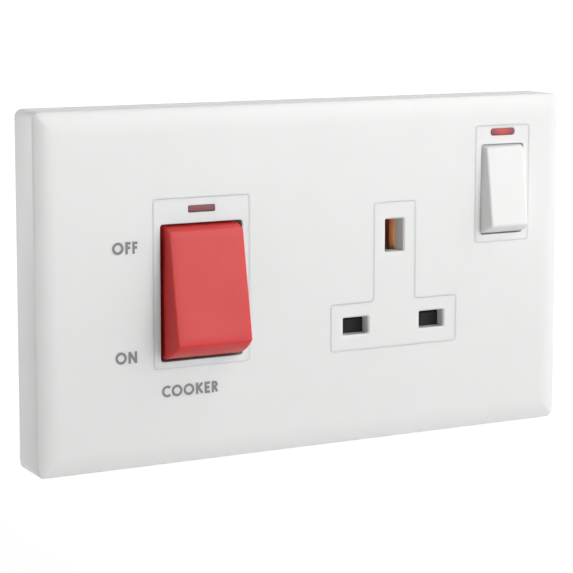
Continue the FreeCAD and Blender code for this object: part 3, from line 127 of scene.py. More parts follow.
def moulding(name, colour, shade, roughness, skin, reflection=1.5, depth=None, thrown=None):
    """A moulded plastic: a 9 mm cloudiness between two colours, and a fine skin that bends the light.

    Where depth is given, it is how far red, green and blue light wander inside, in mm. Where thrown is
    given, it is the colour of the light that the piece throws on its neighbours.
    """
    material, tree, shader = fresh(name)
    shader.inputs["IOR"].default_value = reflection
    place = add(tree, "ShaderNodeTexCoord")
    cloud = add(tree, "ShaderNodeTexNoise", {"Scale": 1 / (CLOUD * MM), "Detail": 2.0},
                {"Vector": place.outputs["Object"]})
    tint = blend(tree, cloud.outputs["Fac"], colour, shade)
    gloss = add(tree, "ShaderNodeMapRange",
                {"To Min": roughness * (1 - GLOSS_SWING), "To Max": roughness * (1 + GLOSS_SWING)},
                {"Value": cloud.outputs["Fac"]})
    grain = add(tree, "ShaderNodeTexNoise", {"Scale": 1 / (GRAIN * MM), "Detail": 3.0},
                {"Vector": place.outputs["Object"]})
    relief = add(tree, "ShaderNodeBump", {"Strength": skin, "Distance": SKIN_HEIGHT * MM},
                 {"Height": grain.outputs["Fac"]})
    # A thrown colour is painted light: diffuse rays see it in place of the base colour, so a dark one puts
    # painted shade on the neighbours.
    if thrown:
        path = add(tree, "ShaderNodeLightPath")
        bounce = add(tree, "ShaderNodeMix", {"data_type": "RGBA", MIX_SECOND: linear(thrown)},
                     {MIX_SHARE: path.outputs["Is Diffuse Ray"], MIX_FIRST: tint})
        tint = bounce.outputs[MIX_RESULT]
    tree.links.new(tint, shader.inputs["Base Color"])
    tree.links.new(gloss.outputs["Result"], shader.inputs["Roughness"])
    tree.links.new(relief.outputs["Normal"], shader.inputs["Normal"])
    if depth:
        shader.inputs["Subsurface Weight"].default_value = 1.0
        shader.inputs["Subsurface Radius"].default_value = depth
        shader.inputs["Subsurface Scale"].default_value = MM
    return material


white_urea = moulding("white urea, gloss moulded", "#F4F4F3", "#F1F1F0", roughness=0.24, skin=0.10,
                      reflection=1.55, depth=(0.7, 0.66, 0.62))
# The red throws a dark grey: painted shade on the white beside it, in place of a red tinge.
red_urea = moulding("red urea, satin moulded", "#E2201D", "#DB1C1A", roughness=0.44, skin=0.20,
                    depth=(1.2, 0.15, 0.1), thrown="#4A4646")
rear_nylon = moulding("off-white nylon, matt moulded", "#E9E8E2", "#E2E1DA", roughness=0.55, skin=0.6)
black_nylon = moulding("black nylon, fine moulded", "#050505", "#090909", roughness=0.75, skin=0.4,
                       reflection=1.45)
plunger_nylon = moulding("natural nylon, turned", "#E6E2D2", "#DED9C6", roughness=0.45, skin=0.3)
print("plastics:", [m.name for m in (white_urea, red_urea, rear_nylon, black_nylon, plunger_nylon)])

# %% [markdown]
# ## Metals
# The terminals and bars are brass, the contact springs are phosphor bronze strip, the contact tips are
# silver alloy, and the screws are zinc plated steel. Rolled strip shows fine lines along the rolling
# direction, so its noise is stretched along one axis. A metal keeps its default index of refraction: its
# colour is its reflection.

# %% Metals
PATCH, LINE_PITCH, LINE_HEIGHT = 3, 0.15, 0.01
LINE_RELIEF, LINE_SWING = 0.15, 0.25
NO_LINES = (1.0, 1.0, 1.0)


def metal(name, colour, tarnish, roughness, stretch):
    """A bare metal: patches of tarnish 3 mm across, and drawn lines 0.15 mm apart along the long axis."""
    material, tree, shader = fresh(name)
    shader.inputs["Metallic"].default_value = 1.0
    place = add(tree, "ShaderNodeTexCoord")
    patch = add(tree, "ShaderNodeTexNoise", {"Scale": 1 / (PATCH * MM), "Detail": 4.0},
                {"Vector": place.outputs["Object"]})
    tint = blend(tree, patch.outputs["Fac"], colour, tarnish)
    drawn = add(tree, "ShaderNodeMapping", {"Scale": stretch}, {"Vector": place.outputs["Object"]})
    lines = add(tree, "ShaderNodeTexNoise", {"Scale": 1 / (LINE_PITCH * MM), "Detail": 2.0},
                {"Vector": drawn.outputs["Vector"]})
    gloss = add(tree, "ShaderNodeMapRange",
                {"To Min": roughness * (1 - LINE_SWING), "To Max": roughness * (1 + LINE_SWING)},
                {"Value": lines.outputs["Fac"]})
    relief = add(tree, "ShaderNodeBump", {"Strength": LINE_RELIEF, "Distance": LINE_HEIGHT * MM},
                 {"Height": lines.outputs["Fac"]})
    tree.links.new(tint, shader.inputs["Base Color"])
    tree.links.new(gloss.outputs["Result"], shader.inputs["Roughness"])
    tree.links.new(relief.outputs["Normal"], shader.inputs["Normal"])
    return material


brass = metal("brass, machined", "#D9B25F", "#C79A48", roughness=0.30, stretch=(1.0, 1.0, 0.08))
bronze = metal("phosphor bronze, rolled strip", "#F9D3B0", "#E6AC7E", roughness=0.34,
               stretch=(1.0, 0.08, 1.0))
silver = metal("silver alloy, pressed", "#DADADA", "#C2C2C0", roughness=0.30, stretch=NO_LINES)
zinc = metal("steel, bright zinc plated", "#C9CBCD", "#B4B5B4", roughness=0.32, stretch=(1.0, 0.1, 1.0))
spring_wire = metal("spring steel, drawn wire", "#A9ABAF", "#85878A", roughness=0.30, stretch=NO_LINES)
print("metals:", [m.name for m in (brass, bronze, silver, zinc, spring_wire)])

# %% [markdown]
# ## Neon lamps
# Behind each red window lies a small glass neon lamp with its series resistor. The window is a clear red
# moulding that lies flush with the face, so unlit it looks dull. The shader makes it opaque, so the light
# that the glass close behind it sends back is painted into its colour: a painted glow, brighter in the
# middle and following a gradient along X about the window's own centre.

# %% Window, glass and resistor
def window(name, centre_x, half_width, middle, ends):
    """Red polycarbonate with a painted glow: a bright middle that fades to the ends over the half width of
    the lamp.
    """
    material, tree, shader = fresh(name)
    shader.inputs["IOR"].default_value = 1.58
    shader.inputs["Roughness"].default_value = 0.35
    place = add(tree, "ShaderNodeTexCoord")
    across = add(tree, "ShaderNodeSeparateXYZ", None, {"Vector": place.outputs["Object"]})
    off = add(tree, "ShaderNodeMath", {"operation": "SUBTRACT", 1: centre_x * MM}, {0: across.outputs["X"]})
    size = add(tree, "ShaderNodeMath", {"operation": "ABSOLUTE"}, {0: off.outputs[0]})
    fade = add(tree, "ShaderNodeMapRange",
               {"From Max": half_width * MM, "interpolation_type": "SMOOTHSTEP"}, {"Value": size.outputs[0]})
    tree.links.new(blend(tree, fade.outputs["Result"], middle, ends), shader.inputs["Base Color"])
    return material


# The middle colour is a painted glow from the glass behind, and the ends are the window's own red.
cooker_window = window("red polycarbonate, cooker lamp", COOKER_X, half_width=4.0,
                       middle="#741F27", ends="#6D2029")
switch_window = window("red polycarbonate, socket lamp", SWITCH_X, half_width=3.6,
                       middle="#C22E2B", ends="#801F30")
glass, _, glass_shader = fresh("soda glass, drawn tube")
glass_shader.inputs["Base Color"].default_value = linear("#F3E9E2")
glass_shader.inputs["Transmission Weight"].default_value = 0.85
glass_shader.inputs["Roughness"].default_value = 0.06
lacquer = moulding("resistor lacquer, dipped", "#C7A877", "#B99866", roughness=0.35, skin=0.2)
print("windows:", cooker_window.name, "and", switch_window.name)

# %% [markdown]
# ## Printed ink
# The words are pad printed in grey on the plate. Ink is a thin film: it has almost no height, a duller skin
# than the gloss below it, and a slightly uneven grey.

# %% Ink
ink = moulding("grey pad print ink", "#818284", "#88898B", roughness=0.5, skin=0.3)
print("ink:", ink.name)

# %% [markdown]
# ## Surfaces from arrays
# Most of the visible mouldings are one idea: a profile carried round an outline. The outline is a rectangle
# or a T with rounded corners, and each row of the profile says how far the outline grows and how deep it
# lies. Each row becomes a closed ring of points, worked out as one array, and neighbouring rings are joined
# by quads. A flat land between rings is filled with triangles, which keeps its shading flat.

# %% Outlines, rings and lands
CORNER_STEPS = 8
WELD = 0.002
SHARP = 38


def outline(corners, grow, radius, least):
    """A right-angled outline, moved outwards by grow, with rounded corners.

    With side normals n1 and n2, and s = 1 at an outer or -1 at an inner corner, a corner's arc has radius
    r = radius + s grow, its centre at corner + (grow - s r)(n1 + n2), and the points
    centre + s r (cos t n1 + sin t n2) for t from 0 to a quarter turn.
    """
    corners = np.asarray(corners, float)
    into = corners - np.roll(corners, 1, axis=0)
    into /= np.linalg.norm(into, axis=1, keepdims=True)
    out = np.roll(into, -1, axis=0)
    first = np.stack([into[:, 1], -into[:, 0]], 1)
    second = np.stack([out[:, 1], -out[:, 0]], 1)
    side = np.sign(into[:, 0] * out[:, 1] - into[:, 1] * out[:, 0])[:, None]
    bend = np.maximum(radius + side * grow, least)
    centre = corners + (grow - side * bend) * (first + second)
    turn = np.linspace(0, np.pi / 2, CORNER_STEPS)[None, :, None]
    sweep = np.cos(turn) * first[:, None] + np.sin(turn) * second[:, None]
    return (centre[:, None] + (side * bend)[:, None] * sweep).reshape(-1, 2)


def carried(corners, profile, radius, least=0.05):
    """A profile of (grow, depth) rows carried round an outline, as an array of rows x points x 3."""
    profile = np.asarray(profile, float)
    loops = np.stack([outline(corners, grow, radius, least) for grow in profile[:, 0]])
    depth = np.broadcast_to(profile[:, 1, None], loops.shape[:2])
    return np.stack([loops[..., 0], depth, loops[..., 1]], -1)


def layered(centre, rows):
    """Rounded rectangles stacked in depth: each row is half width, half height, depth and corner radius.

    A corner's points are centre + sign (half - radius) + radius (cos t, sin t), a quarter turn each.
    """
    half_x, half_z, depth, radius = np.asarray(rows, float).T[:, :, None]
    angle = (np.arange(4)[:, None] * np.pi / 2 + np.linspace(0, np.pi / 2, CORNER_STEPS)).ravel()
    sign_x = np.repeat([1, -1, -1, 1], CORNER_STEPS)
    sign_z = np.repeat([1, 1, -1, -1], CORNER_STEPS)
    x = centre[0] + sign_x * (half_x - radius) + radius * np.cos(angle)
    z = centre[1] + sign_z * (half_z - radius) + radius * np.sin(angle)
    return np.stack([x, depth + 0 * x, z], -1)


def rings(grid):
    """The points of a grid whose rows close on themselves, with the quads between neighbouring rows."""
    count = np.arange(grid.shape[0] * grid.shape[1]).reshape(grid.shape[:2])
    ahead = np.roll(count, -1, axis=1)
    quads = np.stack([count[:-1], count[1:], ahead[1:], ahead[:-1]], -1)
    return grid.reshape(-1, 3), quads.reshape(-1, 4)


def land(*loops):
    """The flat fill between an outer loop of points and the loops of its holes."""
    triangles = tessellate_polygon([[Vector(point) for point in loop] for loop in loops])
    return np.concatenate(loops), np.asarray(triangles)


def piece(name, parts, material, body):
    """Join parts of (points in mm, faces) into one closed mesh that rides on a body."""
    points = np.concatenate([part[0] for part in parts]) * MM
    starts = np.cumsum([0] + [len(part[0]) for part in parts[:-1]])
    faces = [face for start, part in zip(starts, parts) for face in (part[1] + start).tolist()]
    mesh = bpy.data.meshes.new(name)
    mesh.from_pydata(points.tolist(), [], faces)
    work = bmesh.new()
    work.from_mesh(mesh)
    bmesh.ops.remove_doubles(work, verts=work.verts, dist=WELD * MM)
    bmesh.ops.recalc_face_normals(work, faces=work.faces)
    work.to_mesh(mesh)
    work.free()
    mesh.shade_smooth()
    mesh.set_sharp_from_angle(angle=math.radians(SHARP))
    mesh.materials.append(material)
    made = bpy.data.objects.new(name, mesh)
    bpy.context.scene.collection.objects.link(made)
    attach(made, body)
    print(name, len(mesh.polygons), "faces")
    return made


# %% [markdown]
# ## Front plate
# The plate is a clip-on cover, 146 by 86 mm. Its side walls rise 11.5 mm to a crisp edge, and from there a
# shallow crown 5.4 mm wide climbs the last 1.2 mm to the flat face. It could be made with bevels on a box,
# but the crown is a slice of a 12.75 mm circle, so carrying that profile round the outline gives the true
# curve and true mitred corners. Three windows let the inner carrier come through. Their rims roll over by a
# twentieth of a millimetre and just lap the carrier, which draws the faint seam lines of the photograph.

# %% Front plate
FACE = -12.7
WALL = 2.2
SIDE = -11.5
CROWN_WIDE, CROWN_ROUND, CROWN_STEPS = 5.4, 12.75, 14
EDGE, REAR_ROUND = 0.35, 0.3
PLATE_CORNER, PLATE_LEAST, HOLE_CORNER = 2.0, 0.6, 0.9
BORDER = 0.6
RIM_FLAT, RIM_ROLL, RIM_TURN, RIM_DIP = 0.45, 0.4, 0.15, 0.06
RIM_FOOT = 0.1
FIT = -0.2
PLATE = [(-73, -43), (73, -43), (73, 43), (-73, 43)]
COOKER_HOLE = [(-43.58, -19.55), (-17.92, -19.55), (-17.92, 21.45), (-43.58, 21.45)]
SWITCH_HOLE = [(46.8, 5.2), (63.3, 5.2), (63.3, 35.4), (46.8, 35.4)]
SOCKET_HOLE = [(4.525, -19.65), (41.375, -19.65), (41.375, -7.55), (29.09, -7.55),
               (29.09, 17.35), (16.81, 17.35), (16.81, -7.55), (4.525, -7.55)]


def crown(inset):
    """Depth of the crown at an inset from the side: face + R - sqrt(R^2 - (width - inset)^2)."""
    return FACE + CROWN_ROUND - np.sqrt(CROWN_ROUND ** 2 - (CROWN_WIDE - inset) ** 2)


def curve(start, corner, end, count):
    """A soft edge: the quadratic blend (1-t)^2 start + 2t(1-t) corner + t^2 end."""
    t = np.linspace(0, 1, count)[:, None]
    start, corner, end = np.asarray(start), np.asarray(corner), np.asarray(end)
    return (1 - t) ** 2 * start + 2 * t * (1 - t) * corner + t ** 2 * end


inner = [(-WALL, FACE + WALL), (-WALL, -REAR_ROUND), (-WALL, 0)]
rear = curve((-REAR_ROUND, 0), (0, 0), (0, -REAR_ROUND), count=4)
edge = curve((0, SIDE + EDGE), (0, SIDE), (-EDGE, crown(EDGE)), count=6)
inset = np.linspace(EDGE, CROWN_WIDE, CROWN_STEPS)[1:]
slope = np.stack([-inset, crown(inset)], 1)
outer = np.concatenate([inner, rear, edge, slope, [(-CROWN_WIDE - BORDER, FACE)]])
shell = carried(PLATE, outer, PLATE_CORNER, PLATE_LEAST)
flat = [(BORDER, FACE), (RIM_FLAT, FACE)]
roll = curve((RIM_ROLL, FACE), (RIM_TURN, FACE), (0, FACE + RIM_DIP), count=6)
throat = [(0, FACE + WALL - RIM_FOOT), (0, FACE + WALL)]
hole_rim = np.concatenate([flat, roll, throat]) + (FIT, 0)
holes = [carried(hole, hole_rim, HOLE_CORNER) for hole in (COOKER_HOLE, SOCKET_HOLE, SWITCH_HOLE)]
plate_parts = [rings(shell), land(shell[-1], *[hole[0] for hole in holes]),
               land(shell[0], *[hole[-1] for hole in holes]), *[rings(hole) for hole in holes]]
front_plate = piece("front_plate_moulding", plate_parts, white_urea, "unit")

# %% [markdown]
# The plate is held by four hooks inside its long walls, which snap into windows in the carrier's wall. Each
# is a small wedge: a five-point profile carried along X.

# %% Plate hooks
HOOK_X, HOOK_HALF = 40, 4
HOOK = np.array([(-5.6, 41.5), (-5.6, 39.7), (-5.2, 39.62), (-3.4, 40.58), (-3.4, 41.5)])


def wedge(profile, start, end):
    """A profile of (depth, height) points carried along X, with flat ends."""
    profile = np.asarray(profile, float)
    ends = np.array([start, end])[:, None]
    grid = np.stack([ends + 0 * profile[:, 0], profile[:, 0] + 0 * ends, profile[:, 1] + 0 * ends], -1)
    points, quads = rings(grid)
    caps = np.arange(2 * len(profile)).reshape(2, -1)
    return [(points, quads), (points, caps)]


hooks = [part for x in (-HOOK_X, HOOK_X) for up in (1, -1)
         for part in wedge(HOOK * (1, up), x - HOOK_HALF, x + HOOK_HALF)]
piece("plate_hooks", hooks, white_urea, "unit")
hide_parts("front_plate")

# %% [markdown]
# ## Rockers
# A rocker is a slice of a drum that turns about a pin: its two ends are arcs about the pivot, so that they
# pass the frame with the same gap at every angle, and its face is flat. Seen in layers from the back to the
# face, each layer is a rounded rectangle. Its half height follows the drum, sqrt(R^2 - y^2), its sides lean
# in a little, and a crisp edge leads to a band that rolls over to the flat face, like the crown of the
# plate. That band is what catches the light along the edges. Inside it is hollow, like the moulding.

# %% Red cooker rocker and white socket rocker
COOKER_PIVOT, COOKER_TILT = (COOKER_X, -9.2, -1.25), 10.5
SWITCH_PIVOT, SWITCH_TILT = (SWITCH_X, -9.7, 18.9), 8.2
ROCKER_BACK, ROCKER_EDGE, BAND_FALL = 2.0, 0.3, 0.11
CORNER_FALL, CORNER_LEAST = 0.6, 0.2
FACE_BORDER = 0.5
SIDE_STEPS, BAND_STEPS = 8, 9


def tilted(parts, pivot, tilt):
    """Parts turned about X by tilt, (y cos + z sin, z cos - y sin), and then moved to the pivot."""
    turn = math.radians(-tilt)
    spin = np.array([(1, 0, 0), (0, math.cos(turn), -math.sin(turn)), (0, math.sin(turn), math.cos(turn))])
    return [(points @ spin.T + np.asarray(pivot), faces) for points, faces in parts]


def rocker(name, pivot, drum, front, level, half, lean, band, corner, wall, tilt, material):
    """Layers of a rocker about its pin, turned by tilt about X through the pivot.

    Over the edge band the depth is front - drop (1 - inset / band)^2, with a small round at its start.
    """
    drop = BAND_FALL * band

    def tall(depth):
        return np.sqrt(drum ** 2 - depth ** 2)

    def wide(depth):
        return half - lean * np.clip((-level - depth) / (front - level), 0, 1)

    brow = drop - front
    depth = np.concatenate([np.linspace(ROCKER_BACK, -level, SIDE_STEPS),
                            np.linspace(-level, brow + ROCKER_EDGE, SIDE_STEPS)[1:]])
    outside = np.stack([wide(depth), tall(depth), depth, corner + 0 * depth], 1)
    inset = np.linspace(ROCKER_EDGE, band, BAND_STEPS)
    top = np.stack([wide(brow) - inset, tall(brow) - inset, -front + drop * (1 - inset / band) ** 2,
                    np.maximum(corner - CORNER_FALL * inset, CORNER_LEAST)], 1)
    round_edge = curve(outside[-1], (wide(brow), tall(brow), brow, corner), top[0], count=6)[1:-1]
    middle = top[-1:] - (FACE_BORDER, FACE_BORDER, 0, 0)
    room = depth[:-2]
    inside = np.stack([wide(room) - wall, tall(room) - wall, room, corner / 2 + 0 * room], 1)[::-1]
    grid = layered((0, 0), np.concatenate([inside, outside, round_edge, top, middle]))
    parts = [rings(grid), land(grid[-1]), land(grid[0])]
    made = piece(name + "_moulding", tilted(parts, pivot, tilt), material, name)
    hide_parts(name)


rocker("cooker_rocker", COOKER_PIVOT, drum=16.3, front=9.0, level=3.5, half=10.2, lean=0.45, band=2.4,
       corner=0.75, wall=1.8, tilt=COOKER_TILT, material=red_urea)
rocker("switch_rocker", SWITCH_PIVOT, drum=11.63, front=5.8, level=3.0, half=6.46, lean=1.0, band=1.0,
       corner=0.65, wall=1.5, tilt=SWITCH_TILT, material=white_urea)

# %% [markdown]
# Each rocker turns on two stub pins in the carrier's walls, and holds its spring plungers in round bosses
# behind the face. Pins and bosses are turned shapes: a profile of radius and length, spun about an axis.

# %% Pins and plunger bosses
PIN, PIN_CHAMFER = 1.5, 0.2
BOSS_ROOT = 0.8
TURN_STEPS = 32
COOKER_FLOOR, SWITCH_FLOOR = -7.2, -4.3
COOKER_POLE = 6


def turned(profile, axis, place):
    """A profile of (radius, along) rows spun about an axis.

    The points are place + along axis + radius (cos t u + sin t v), with u and v square to the axis.
    """
    radius, along = np.asarray(profile, float).T[:, :, None, None]
    axis = np.asarray(axis, float)
    first = np.roll(axis, 1)
    angle = np.linspace(0, 2 * np.pi, TURN_STEPS, endpoint=False)[:, None]
    spoke = np.cos(angle) * first + np.sin(angle) * np.cross(axis, first)
    grid = np.asarray(place, float) + along * axis + radius * spoke
    return [rings(grid), land(grid[0]), land(grid[-1])]


def bearings(name, pivot, tilt, pin_start, pin_end, boss, bore, floor, rear, poles, material):
    """Two pins along X, and for each pole a boss along Y whose bore ends at the floor behind the face."""
    pin = [(PIN, pin_start), (PIN, pin_end - PIN_CHAMFER), (PIN - PIN_CHAMFER, pin_end)]
    tube = [(boss, floor - BOSS_ROOT), (boss, rear), (bore, rear), (bore, floor)]
    parts = turned(pin, (1, 0, 0), (0, 0, 0)) + turned(pin, (-1, 0, 0), (0, 0, 0))
    parts += [part for x in poles for part in turned(tube, (0, 1, 0), (x, 0, 0))]
    piece(name + "_bearings", tilted(parts, pivot, tilt), material, name)


bearings("cooker_rocker", COOKER_PIVOT, COOKER_TILT, pin_start=9.7, pin_end=12.0, boss=3.4, bore=2.2,
         floor=COOKER_FLOOR, rear=5.5, poles=(-COOKER_POLE, COOKER_POLE), material=red_urea)
bearings("switch_rocker", SWITCH_PIVOT, SWITCH_TILT, pin_start=5.4, pin_end=7.6, boss=2.8, bore=1.8,
         floor=SWITCH_FLOOR, rear=4.5, poles=(0,), material=white_urea)

# %% [markdown]
# ## Springs
# A spring behind each plunger presses it on the contact arm, and one more under the shutter closes it. Each
# is a round wire along a helix. It could be a curve with a bevel, but as a surface its wire is exact.

# %% Springs
WIRE = 0.25
STEPS_A_TURN, WIRE_SIDES = 20, 10
PLUNGER_TAIL = 0.5


def coil(node, foot, way, reach, pitch, length, body):
    """A wire along a helix: foot + R (cos t u + sin t v) + (wire + pitch t / 2 pi) way.

    Each ring of the wire lies in the plane of the outward line and the line square to it and to the wire.
    """
    foot, way, first = np.asarray(foot), np.asarray(way), np.array([1.0, 0.0, 0.0])
    second = np.cross(way, first)
    turns = (length - 2 * WIRE) / pitch
    t = np.linspace(0, 2 * np.pi * turns, int(STEPS_A_TURN * turns))[:, None]
    out = np.cos(t) * first + np.sin(t) * second
    along = reach * (np.cos(t) * second - np.sin(t) * first) + pitch / (2 * np.pi) * way
    square = np.cross(along / np.linalg.norm(along, axis=1, keepdims=True), out)
    centre = foot + reach * out + (WIRE + pitch * t / (2 * np.pi)) * way
    around = np.linspace(0, 2 * np.pi, WIRE_SIDES, endpoint=False)[None, :, None]
    grid = centre[:, None] + WIRE * (np.cos(around) * out[:, None] + np.sin(around) * square[:, None])
    parts = [rings(grid), land(grid[0]), land(grid[-1])]
    made = piece(node + "_wire", parts, spring_wire, body)
    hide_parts(node)
    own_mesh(made)


def plunger_spring(tag, x, pivot, tilt, floor, reach, pitch):
    """A spring from the floor of a boss to the plunger's tail behind the pivot, on the tilted axis."""
    body = tag.split("_")[0]
    way = np.array([0.0, math.cos(math.radians(tilt)), -math.sin(math.radians(tilt))])
    foot = np.asarray(pivot) + (x, 0, 0) + floor * way
    coil(tag + "_plunger_spring", foot, way, reach, pitch, PLUNGER_TAIL - floor, body + "_rocker")


for pole, x in (("cooker_live", COOKER_POLE), ("cooker_neutral", -COOKER_POLE)):
    plunger_spring(pole, x, COOKER_PIVOT, COOKER_TILT, COOKER_FLOOR, reach=1.6, pitch=1.75)
plunger_spring("switch", 0, SWITCH_PIVOT, SWITCH_TILT, SWITCH_FLOOR, reach=1.2, pitch=1.1)
coil("shutter_spring", (22.95, -7.75, -30.0), (0.0, 0.0, 1.0), reach=1.4, pitch=1.8, length=13.0,
     body="unit")

# %% [markdown]
# ## Neon windows
# Each window is a small red block with a flange behind it, which stops it from falling out at the front.
# Its face is slightly domed and its edges are soft, so that it catches a line of light.

# %% Neon windows
LENS_BACK, LENS_SEAT = -7.4, -8.3
FLANGE_OUT, FLANGE_HALF, FLANGE_CORNER = 1.2, 1.6, 0.5
LENS_START, LENS_BROW, LENS_STEPS = 0.02, 0.2, 6
LENS_FACE = [(0.05, 0.09, 0.95), (0.18, 0.02, 0.75), (0.4, 0.0, 0.5)]


def lens(name, centre, half_x, half_z, corner, material):
    """Layers of a window: the flange behind, the body in its slot, and a soft domed face.

    Each row of the face is its inset, its depth below the plate's face and its share of the corner radius.
    """
    flange = [(half_x + FLANGE_OUT, FLANGE_HALF, depth, FLANGE_CORNER) for depth in (LENS_BACK, LENS_SEAT)]
    depths = [LENS_SEAT, *np.linspace(LENS_SEAT + LENS_START, FACE + LENS_BROW, LENS_STEPS)]
    body = [(half_x, half_z, depth, corner) for depth in depths]
    face = [(half_x - inset, half_z - inset, FACE + sink, corner * share)
            for inset, sink, share in LENS_FACE]
    grid = layered(centre, flange + body + face)
    parts = [rings(grid), land(grid[0]), land(grid[-1])]
    made = piece(name + "_moulding", parts, material, "unit")
    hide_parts(name)


lens("cooker_neon_lens", (COOKER_X, 18.63), half_x=3.535, half_z=0.8, corner=0.3, material=cooker_window)
lens("switch_neon_lens", (SWITCH_X, 33.62), half_x=3.65, half_z=0.875, corner=0.75, material=switch_window)

# %% [markdown]
# ## Words
# OFF, ON and COOKER are set in a geometric sans: straight strokes of one width and round letters drawn with
# the compass. A straight stroke is a strip between two points, and a round one is a strip along an arc, so
# each letter is a few strips in a box of height 1. The print is a film 0.02 mm thick on the face, and where
# strips of a letter cross, each lies a hair above the one before, so that no two faces share a plane.

# %% Letters
STROKE = 0.22
HALF = STROKE / 2
ROUND = 0.51 - HALF
BOWL = 0.29 - HALF
FILM, FILM_STEP, FILM_ROOT = 0.012, 0.003, 0.01
ARC_STEPS = 32


def strip(start, end):
    """Two rows of points half a stroke either side of the line from start to end."""
    start, end = np.asarray(start, float), np.asarray(end, float)
    along = (end - start) / np.linalg.norm(end - start)
    across = np.array([-along[1], along[0]]) * HALF
    return np.stack([[start - across, end - across], [start + across, end + across]])


def arc(centre, radius, start, end):
    """Two rows of points half a stroke inside and outside an arc, from start to end in degrees."""
    angle = np.radians(np.linspace(start, end, ARC_STEPS))
    line = np.stack([np.cos(angle), np.sin(angle)], 1)
    return np.stack([centre + (radius - HALF) * line, centre + (radius + HALF) * line])


STEM = strip((HALF, 0), (HALF, 1))
LETTERS = {
    "O": (0.05, 1.02, 0.05, [arc((0.51, 0.5), ROUND, 0, 360)]),
    "C": (0.05, 0.82, 0.04, [arc((0.51, 0.5), ROUND, 50, 310)]),
    "F": (0.10, 0.46, 0.05, [STEM, strip((0, 1 - HALF), (0.46, 1 - HALF)), strip((0, 0.52), (0.43, 0.52))]),
    "N": (0.10, 0.78, 0.10, [STEM, strip((0.78 - HALF, 0), (0.78 - HALF, 1)),
                             strip((HALF + 0.01, 0.92), (0.77 - HALF, 0.08))]),
    "K": (0.10, 0.70, 0.03, [STEM, strip((HALF, 0.40), (0.60, 0.95)), strip((0.24, 0.56), (0.62, 0.05))]),
    "E": (0.10, 0.50, 0.08, [STEM, strip((0, 1 - HALF), (0.50, 1 - HALF)), strip((0, 0.5), (0.46, 0.5)),
                             strip((0, HALF), (0.50, HALF))]),
    "R": (0.10, 0.60, 0.05, [STEM, arc((0.28, 0.71), BOWL, -90, 90),
                             strip((HALF, 1 - HALF), (0.28, 1 - HALF)),
                             strip((HALF, 0.42 + HALF), (0.28, 0.42 + HALF)),
                             strip((0.27, 0.47), (0.52, 0.05))]),
}


def word(text, centre, height):
    """The strips of a word, centred on a point of the face, as points and quads.

    Each letter's entry is the room before it, its width, the room after it and its strips.
    """
    rooms = [LETTERS[letter][:3] for letter in text]
    starts = np.cumsum([0] + [sum(room) for room in rooms[:-1]]) + [room[0] for room in rooms]
    middle = (starts[0] + starts[-1] + rooms[-1][1]) / 2
    parts = []
    for start, letter in zip(starts, text):
        for i, rows in enumerate(LETTERS[letter][3]):
            flat = (rows + (start - middle, -0.5)) * height + centre
            edges = np.stack([flat[0], flat[0], flat[1], flat[1]], 1)
            film, root = FACE - FILM - FILM_STEP * i, FACE + FILM_ROOT
            depth = np.broadcast_to([root, film, film, root], edges.shape[:2])
            grid = np.stack([edges[..., 0], depth, edges[..., 1]], -1)
            parts.append(rings(grid))
            if not np.allclose(grid[0], grid[-1]):
                parts += [(end, np.array([(0, 1, 2, 3)])) for end in (grid[0], grid[-1])]
    return parts


words = [*word("OFF", centre=(-50.77, 10.29), height=2.9),
         *word("ON", centre=(-50.66, -15.88), height=2.85),
         *word("COOKER", centre=(-34.07, -24.96), height=2.8)]
piece("printed_words", words, ink, "unit")

# %% [markdown]
# ## Finishes for the solids
# The remaining pieces keep their own solids: the carrier, the rear mouldings, the contacts, terminals and
# screws. Their meshes are loose triangles with knife edges, so three modifiers tidy the look without a
# change to the mesh: Weld joins the triangles, Decimate joins flat ones into whole faces, and Bevel rounds
# each edge by about a tenth of a millimetre, as a mould or a press tool does.

# %% Assign the finishes
JOIN_GAP, FLAT_ANGLE, BEVEL_ANGLE = 0.001, 0.4, 40
FINISHES = {
    "white_urea": white_urea, "red_plastic": red_urea, "neon_lens": cooker_window,
    "black_nylon": black_nylon, "grey_moulding": rear_nylon, "nylon": plunger_nylon, "brass": brass,
    "bronze": bronze, "silver_tip": silver, "zinc_steel": zinc, "spring_steel": spring_wire,
    "lamp_glass": glass, "resistor_body": lacquer,
}
SOFT_EDGES = {"white_urea": 0.14, "black_nylon": 0.15, "grey_moulding": 0.2, "brass": 0.15, "bronze": 0.08,
              "zinc_steel": 0.12}
for part in frame["record"]["subparts"]:
    solid = solids[part["node"]]
    slot = part["material_slot"]
    solid.data.materials.clear()
    solid.data.materials.append(FINISHES[slot])
    if slot in SOFT_EDGES and not solid.hide_render:
        weld = solid.modifiers.new("join triangles", "WELD")
        weld.merge_threshold = JOIN_GAP * MM
        join = solid.modifiers.new("join flat faces", "DECIMATE")
        join.decimate_type = "DISSOLVE"
        join.angle_limit = math.radians(FLAT_ANGLE)
        soft = solid.modifiers.new("soft edges", "BEVEL")
        soft.width = SOFT_EDGES[slot] * MM
        soft.segments = 2
        soft.limit_method = "ANGLE"
        soft.angle_limit = math.radians(BEVEL_ANGLE)
        soft.harden_normals = True
print("finishes on", len(solids), "solids")

# %% [markdown]
# ## Studio
# The photograph is a catalogue cut-out: a white sweep, broad soft lights from the front and the right, and
# paler ones from the left and behind that lift the side wall. The crown on the left faces none of them
# squarely, so it stays darker than the face. The backdrop and floor look plain white to the camera and to
# mirror-like rays, but the world itself lights the object only a little.

# %% World and floor
AMBIENT = 0.04
FLOOR, SPREAD = -0.105, 8.0
GLOW_NEAR, GLOW_FAR, GLOW_LEAST = 0.3, 1.2, 0.6
scene = bpy.context.scene
scene.view_settings.view_transform = "Standard"


